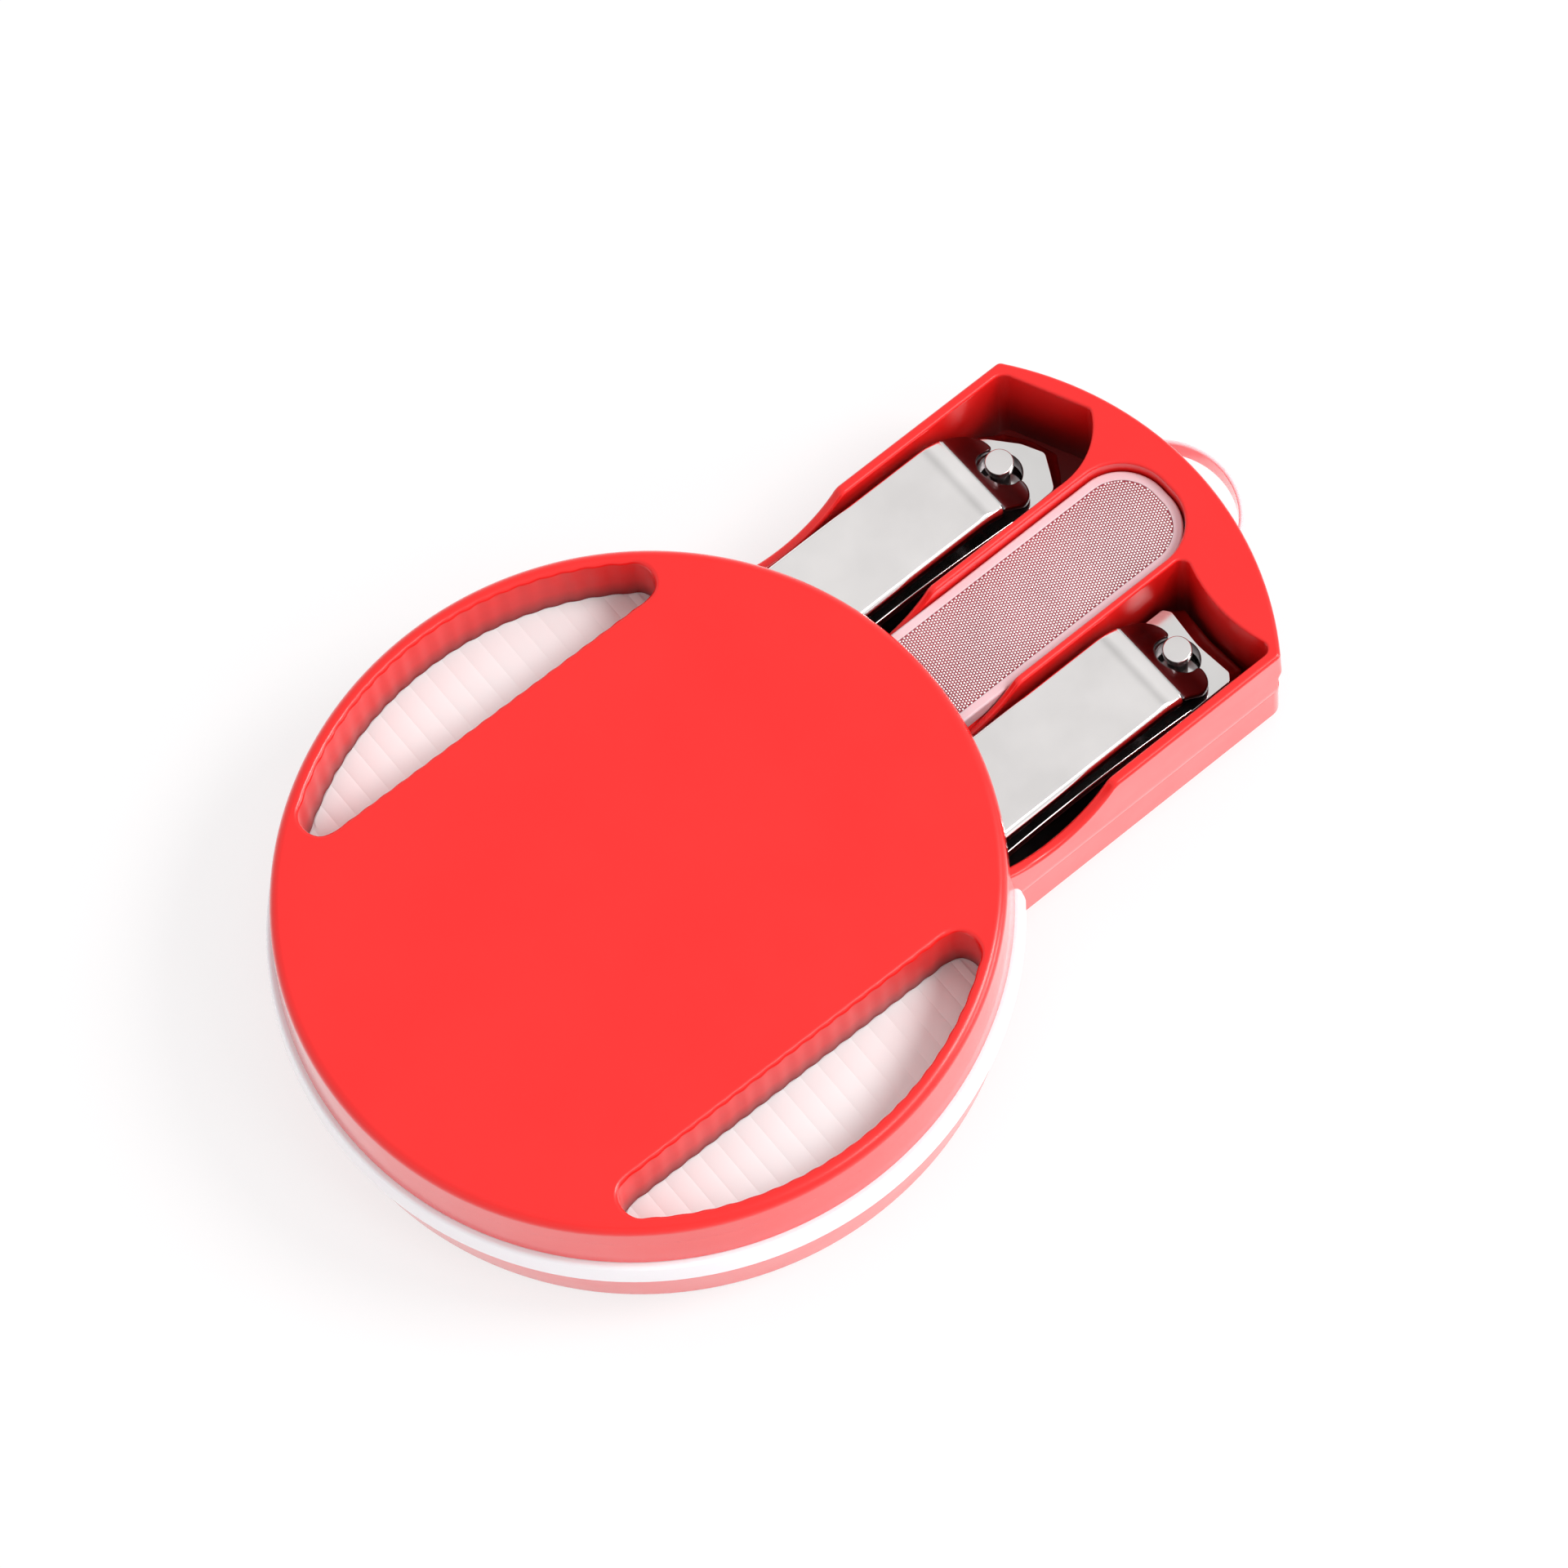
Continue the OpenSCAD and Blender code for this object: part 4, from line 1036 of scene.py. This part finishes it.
def make_rivet(name, node, y, materials):
    shell = Shell(TRAY_OPEN, y, CLIP_Z)
    top, head_r, shaft_r = 2.75, 2.3, 1.5
    seat = top - 0.55
    low_head = [(head_r - i, z) for i, z in round_down(-top, 0.35, 4)][1:]
    high_head = [(head_r - i, z) for i, z in round_up(top, 0.35, 4)][:-1]
    lathe(shell, [[(0, -top + 0.05), (1.0, -top + 0.12)] + low_head + [(head_r, -seat)],
                  [(head_r, -seat), (shaft_r, -seat)],
                  [(shaft_r, -seat), (shaft_r, seat)],
                  [(shaft_r, seat), (head_r, seat)],
                  [(head_r, seat)] + high_head + [(1.0, top - 0.12), (0, top - 0.05)]],
          (RIVET_X, 0), 48)
    add(shell, name, node, materials)


def make_screws(name, node, places, low, head_h, tip, materials, shift):
    """Screws with round heads, which have a cross recess, set in from below."""
    shell = Shell(shift)
    r, face_r, shaft_r = 2.0, 1.55, 1.1
    arm, w = 1.15, 0.27      # reach and half width of the recess's arms
    for x, y in places:
        cross = []
        for k in range(4):
            c, s = math.cos(math.pi / 2 * k), math.sin(math.pi / 2 * k)
            for u, v in ((w, -w), (arm, -w), (arm, w)):
                cross.append((x + u * c - v * s, y + u * s + v * c))
        cross = tidy(cross, hole=True)
        rim = tidy([(x + face_r * math.cos(a), y + face_r * math.sin(a))
                    for a in np.linspace(0, 2 * math.pi, 48, endpoint=False)])
        face = [(px, py, low) for px, py in rim]
        mouth = [(px, py, low) for px, py in cross]
        deep = [(px, py, low + min(0.9, head_h - 0.15)) for px, py in cross]
        shell.cap([face, mouth], up=-1)
        shell.sheet([mouth, deep])
        shell.cap([deep[::-1]], up=-1)
        seat = low + head_h
        lathe(shell, [[(face_r, low), (r - 0.15, low + 0.08), (r, low + 0.3), (r, seat - 0.1)],
                      [(r, seat - 0.1), (r - 0.1, seat), (shaft_r, seat)],
                      [(shaft_r, seat), (shaft_r, tip - 0.8), (0.3, tip), (0, tip)]], (x, y), 48)
    add(shell, name, node, materials)


# ---------- materials ----------

def new_material(name):
    material = bpy.data.materials.new(name)
    material.use_nodes = True
    tree = material.node_tree
    return material, tree, tree.nodes["Principled BSDF"]


def node_in(tree, kind, inputs=(), **settings):
    """A shader node with its settings, and its inputs set or linked."""
    made = tree.nodes.new(kind)
    for key, value in settings.items():
        setattr(made, key, value)
    for key, value in dict(inputs).items():
        if isinstance(value, bpy.types.NodeSocket):
            tree.links.new(value, made.inputs[key])
        else:
            made.inputs[key].default_value = value
    return made


def noise(tree, where, scale, detail=3.0, rough=0.5, stretch=(1, 1, 1)):
    mapped = node_in(tree, "ShaderNodeMapping", {"Vector": where, "Scale": stretch})
    return node_in(tree, "ShaderNodeTexNoise", {"Vector": mapped.outputs[0], "Scale": scale,
                                                "Detail": detail, "Roughness": rough}).outputs["Fac"]


def ramp(tree, value, stops):
    """A colour ramp from (position, grey or colour) stops."""
    made = node_in(tree, "ShaderNodeValToRGB", {"Fac": value})
    elements = made.color_ramp.elements
    while len(elements) < len(stops):
        elements.new(0.5)
    for element, (position, colour) in zip(elements, stops):
        element.position = position
        if not isinstance(colour, tuple):
            colour = (colour,) * 3
        element.color = (*colour, 1)
    return made.outputs["Color"]


def place(tree):
    return node_in(tree, "ShaderNodeTexCoord").outputs["Object"]


def plastic(name, low, high, rough=(0.29, 0.37), grain=0.03, specular=0.5, coat=(0.15, 1.0),
            subsurface=0.0, scatter=(0.002, 0.0005, 0.0005), painted_shade=()):
    """Satin moulded plastic: a slight drift in colour and gloss, and a fine grain.

    The last argument holds (height in mm, share) pairs: painted shade, which darkens a wall's colour
    towards its foot.
    """
    material, tree, shader = new_material(name)
    at = place(tree)
    drift = noise(tree, at, 45.0, 3.0)
    colour = ramp(tree, drift, [(0.3, low), (0.7, high)])
    if painted_shade:
        # painted shade: the colour is multiplied down by height, towards the foot of deep walls
        z = node_in(tree, "ShaderNodeSeparateXYZ", {"Vector": at}).outputs["Z"]
        z = node_in(tree, "ShaderNodeMapRange",
                    {"Value": z, "From Min": 0.0, "From Max": TOP * MM}).outputs[0]
        shade = ramp(tree, z, [(height / TOP, share) for height, share in painted_shade])
        colour = node_in(tree, "ShaderNodeVectorMath", {0: colour, 1: shade},
                         operation="MULTIPLY").outputs[0]
    tree.links.new(colour, shader.inputs["Base Color"])
    cloud = noise(tree, at, 150.0, 2.0, 0.5)
    tree.links.new(ramp(tree, cloud, [(0.3, rough[0]), (0.7, rough[1])]), shader.inputs["Roughness"])
    fine = noise(tree, at, 4200.0, 2.0, 0.6)
    broad = noise(tree, at, 260.0, 2.0, 0.5)
    height = node_in(tree, "ShaderNodeMath", {0: broad, 1: 2.0, 2: fine},
                     operation="MULTIPLY_ADD").outputs[0]
    bump = node_in(tree, "ShaderNodeBump", {"Height": height, "Strength": grain, "Distance": 0.00012})
    tree.links.new(bump.outputs[0], shader.inputs["Normal"])
    shader.inputs["Specular IOR Level"].default_value = specular
    # the gloss grows where the surface is seen at a slant
    slant = node_in(tree, "ShaderNodeLayerWeight", {"Blend": 0.5}).outputs["Facing"]
    weight = node_in(tree, "ShaderNodeMapRange", {"Value": slant, "From Min": 0.25, "From Max": 0.65,
                                                  "To Min": coat[0], "To Max": coat[1]}).outputs[0]
    tree.links.new(weight, shader.inputs["Coat Weight"])
    shader.inputs["Coat Roughness"].default_value = 0.12
    if subsurface:
        shader.inputs["Subsurface Weight"].default_value = subsurface
        shader.inputs["Subsurface Radius"].default_value = scatter
        shader.inputs["Subsurface Scale"].default_value = 1.0
    return material


def steel(name, colour, rough, brush=(1, 1, 1), depth=0.05):
    """Brushed or polished steel: fine lines along one way, and cloudy gloss."""
    material, tree, shader = new_material(name)
    at = place(tree)
    shader.inputs["Metallic"].default_value = 1.0
    lines = noise(tree, at, 900.0, 4.0, 0.65, brush)
    cloud = noise(tree, at, 110.0, 3.0)
    pale = tuple(min(1.0, c * 1.05) for c in colour)
    dark = tuple(c * 0.95 for c in colour)
    tree.links.new(ramp(tree, cloud, [(0.3, dark), (0.7, pale)]), shader.inputs["Base Color"])
    mixed = node_in(tree, "ShaderNodeMath", {0: lines, 1: 0.5, 2: cloud},
                    operation="MULTIPLY_ADD").outputs[0]
    gloss = node_in(tree, "ShaderNodeMapRange",
                    {"Value": mixed, "From Min": 0.4, "From Max": 1.1, "To Min": rough - 0.04,
                     "To Max": rough + 0.04}).outputs[0]
    tree.links.new(gloss, shader.inputs["Roughness"])
    bump = node_in(tree, "ShaderNodeBump", {"Height": lines, "Strength": depth, "Distance": 0.00005})
    tree.links.new(bump.outputs[0], shader.inputs["Normal"])
    return material


red_case = plastic("red_case", (0.80, 0.0075, 0.0065), (0.86, 0.0105, 0.0085))
red_tray = plastic("red_tray", (0.78, 0.0080, 0.0070), (0.85, 0.0105, 0.0090))
# the case's red again, with less gloss and painted shade that darkens the windows' walls towards their
# foot
red_window = plastic("red_window", (0.80, 0.0075, 0.0065), (0.86, 0.0105, 0.0085), specular=0.2,
                     coat=(0.0, 0.15),
                     painted_shade=((15, 0.25), (16.3, 0.5), (19, 0.9), (22, 1)))
# the tray's red again, with painted shade that darkens the pockets' walls and floors towards the foot
red_pocket = plastic("red_pocket", (0.78, 0.0080, 0.0070), (0.85, 0.0105, 0.0090), coat=(0.0, 0.12),
                     painted_shade=((5, 0.3), (9, 0.4), (15, 0.85), (19, 1)))
# painted light: the same white plastic, tinted cyan to cancel the pink light that the red walls bounce
# onto the deck
deck_white_bounce_cancel = plastic("white_deck", (0.87, 0.965, 0.97), (0.90, 0.985, 0.985), rough=(0.4, 0.5),
                     coat=(0.0, 0.0))
white = plastic("white_plastic", (0.90, 0.875, 0.91), (0.94, 0.92, 0.945), rough=(0.35, 0.45),
                subsurface=0.15, scatter=(0.0012, 0.0009, 0.0011))
loop_pink = plastic("loop_plastic", (0.90, 0.52, 0.55), (0.95, 0.60, 0.63), subsurface=0.4,
                    scatter=(0.003, 0.0015, 0.0015))
file_pink = plastic("file_frame", (0.77, 0.51, 0.55), (0.83, 0.58, 0.61), rough=(0.4, 0.5),
                    grain=0.1, coat=(0.0, 0.0), subsurface=0.3, scatter=(0.002, 0.001, 0.001))
mesh_ground = plastic("file_mesh_ground", (0.22, 0.028, 0.042), (0.34, 0.045, 0.065),
                      rough=(0.4, 0.5), coat=(0.0, 0.0))
mesh_tooth = steel("file_mesh_teeth", (0.95, 0.91, 0.91), 0.4)
lever_steel = steel("lever_steel", (0.93, 0.90, 0.89), 0.15, brush=(0.15, 1, 1), depth=0.012)
arm_steel = steel("clipper_steel", (0.84, 0.825, 0.815), 0.14, brush=(0.2, 1, 1), depth=0.015)
# steel painted dark where the metal only mirrors shade and dark surroundings: painted reflection and
# shade on the levers' flanges and forks and in the arms' holes
dark_steel = steel("dark_steel", (0.20, 0.17, 0.18), 0.2, depth=0.02)
pin_steel = steel("pin_steel", (0.88, 0.85, 0.84), 0.2, depth=0.04)
screw_steel = steel("screw_steel", (0.5, 0.5, 0.52), 0.35, depth=0.1)


# ---------- pieces ----------

make_cover([red_case, red_window])
make_chassis([white, deck_white_bounce_cancel])
make_base([red_case])
make_screws("base_screws", "case_screws", CASE_SCREWS, 0.7, 1.8, 20.0, [screw_steel], 0.0)
make_tray_lower([red_tray, red_pocket])
make_tray_upper([red_tray, red_pocket])
make_screws("tray_bottom_screws", "tray_screws", TRAY_SCREWS, TRAY_Z + 0.1, 0.6, 9.65,
            [screw_steel], TRAY_OPEN)
make_loop([loop_pink])
make_file([file_pink], [mesh_ground, mesh_tooth])
for hand, y in (("left", LEFT_Y), ("right", RIGHT_Y)):
    for side, below in (("upper", False), ("lower", True)):
        make_arm(f"{hand}_blade_{side}", f"{hand}_{side}_arm", y, hand == "left", below,
                 [arm_steel, dark_steel])
    make_lever(hand + "_handle", hand + "_lever", y, [lever_steel, dark_steel])
    make_pin(hand + "_post", hand + "_pin", y, [pin_steel])
    make_rivet(hand + "_rivet", hand + "_tail_rivet", y, [pin_steel])


# ---------- camera, lights and floor ----------

CAMERA_AZIMUTH = -31.1       # degrees round the case, from straight in front
CAMERA_ELEVATION = 66.4      # degrees above the horizon
CAMERA_ROLL = -8.99          # degrees about the line of sight
CAMERA_TARGET = (26.497, 1.889, 15.0)   # millimetres
CAMERA_DISTANCE = 897.57     # millimetres
CAMERA_LENS = 150.0          # millimetres, on a sensor 36 mm wide


def make_camera():
    azimuth = math.radians(CAMERA_AZIMUTH)
    elevation = math.radians(CAMERA_ELEVATION)
    roll = math.radians(CAMERA_ROLL)
    back = Vector((math.sin(azimuth) * math.cos(elevation),
                   -math.cos(azimuth) * math.cos(elevation), math.sin(elevation)))
    level = Vector((0, 0, 1)).cross(back).normalized()
    upright = back.cross(level)
    right = level * math.cos(roll) + upright * math.sin(roll)
    up = back.cross(right)
    data = bpy.data.cameras.new("camera")
    data.lens = CAMERA_LENS
    data.sensor_width = 36.0
    data.clip_start = 0.05
    data.clip_end = 20
    camera = bpy.data.objects.new("camera", data)
    spot = (Vector(CAMERA_TARGET) + back * CAMERA_DISTANCE) * MM
    camera.matrix_world = Matrix.Translation(spot) @ Matrix((right, up, back)).transposed().to_4x4()
    bpy.context.scene.collection.objects.link(camera)
    bpy.context.scene.camera = camera


make_camera()


def area_light(name, at, target, size, power):
    data = bpy.data.lights.new(name, "AREA")
    data.shape = "DISK"
    data.size = size
    data.energy = power
    lamp = bpy.data.objects.new(name, data)
    lamp.location = at
    lamp.rotation_euler = (Vector(target) - Vector(at)).to_track_quat("-Z", "Y").to_euler()
    bpy.context.scene.collection.objects.link(lamp)


area_light("key", (0.80, -0.52, 1.05), (0.02, 0, 0), 0.5, 10)
area_light("edge", (0.29, -0.84, 1.05), (0.02, 0, 0), 0.45, 2.5)
area_light("side", (0.95, -0.75, 0.25), (0.02, 0, 0.01), 0.5, 4)


def make_floor():
    """A plain floor. Seen directly or in a gloss it glows, so that it is white but for the shadow."""
    low = -0.0002            # clear of the case's underside
    corners = [(-2, -2, low), (2, -2, low), (2, 2, low), (-2, 2, low)]
    mesh = bpy.data.meshes.new("floor")
    mesh.from_pydata(corners, [], [(0, 1, 2, 3)])
    floor = bpy.data.objects.new("floor", mesh)
    bpy.context.scene.collection.objects.link(floor)
    material, tree, shader = new_material("floor_white")
    shader.inputs["Base Color"].default_value = (0.9, 0.88, 0.89, 1)
    shader.inputs["Roughness"].default_value = 0.9
    shader.inputs["Specular IOR Level"].default_value = 0.0
    glow = node_in(tree, "ShaderNodeEmission", {"Color": (1, 1, 1, 1), "Strength": 1.0})
    path = node_in(tree, "ShaderNodeLightPath")
    seen = node_in(tree, "ShaderNodeMath", {0: path.outputs["Is Camera Ray"],
                                            1: path.outputs["Is Glossy Ray"]},
                   operation="MAXIMUM").outputs[0]
    seen = node_in(tree, "ShaderNodeMath", {0: seen, 1: path.outputs["Is Transmission Ray"]},
                   operation="MAXIMUM").outputs[0]
    share = node_in(tree, "ShaderNodeMath", {0: seen, 1: 0.72}, operation="MULTIPLY").outputs[0]
    mixed = node_in(tree, "ShaderNodeMixShader", {"Fac": share})
    tree.links.new(shader.outputs[0], mixed.inputs[1])
    tree.links.new(glow.outputs[0], mixed.inputs[2])
    tree.links.new(mixed.outputs[0], tree.nodes["Material Output"].inputs["Surface"])
    mesh.materials.append(material)


make_floor()


def make_world():
    world = bpy.data.worlds.new("world")
    bpy.context.scene.world = world
    world.use_nodes = True
    tree = world.node_tree
    background = tree.nodes["Background"]
    # a soft studio: pale walls, a greyer ring, and a pale ceiling
    way = node_in(tree, "ShaderNodeTexCoord").outputs["Generated"]
    height = node_in(tree, "ShaderNodeSeparateXYZ", {"Vector": way}).outputs["Z"]
    tree.links.new(ramp(tree, height, [(0.0, 0.95), (0.55, 1.0), (0.78, 0.72), (0.88, 0.95),
                                       (1.0, 0.9)]), background.inputs["Color"])
    background.inputs["Strength"].default_value = 0.85


make_world()
bpy.context.scene.view_settings.view_transform = "Standard"
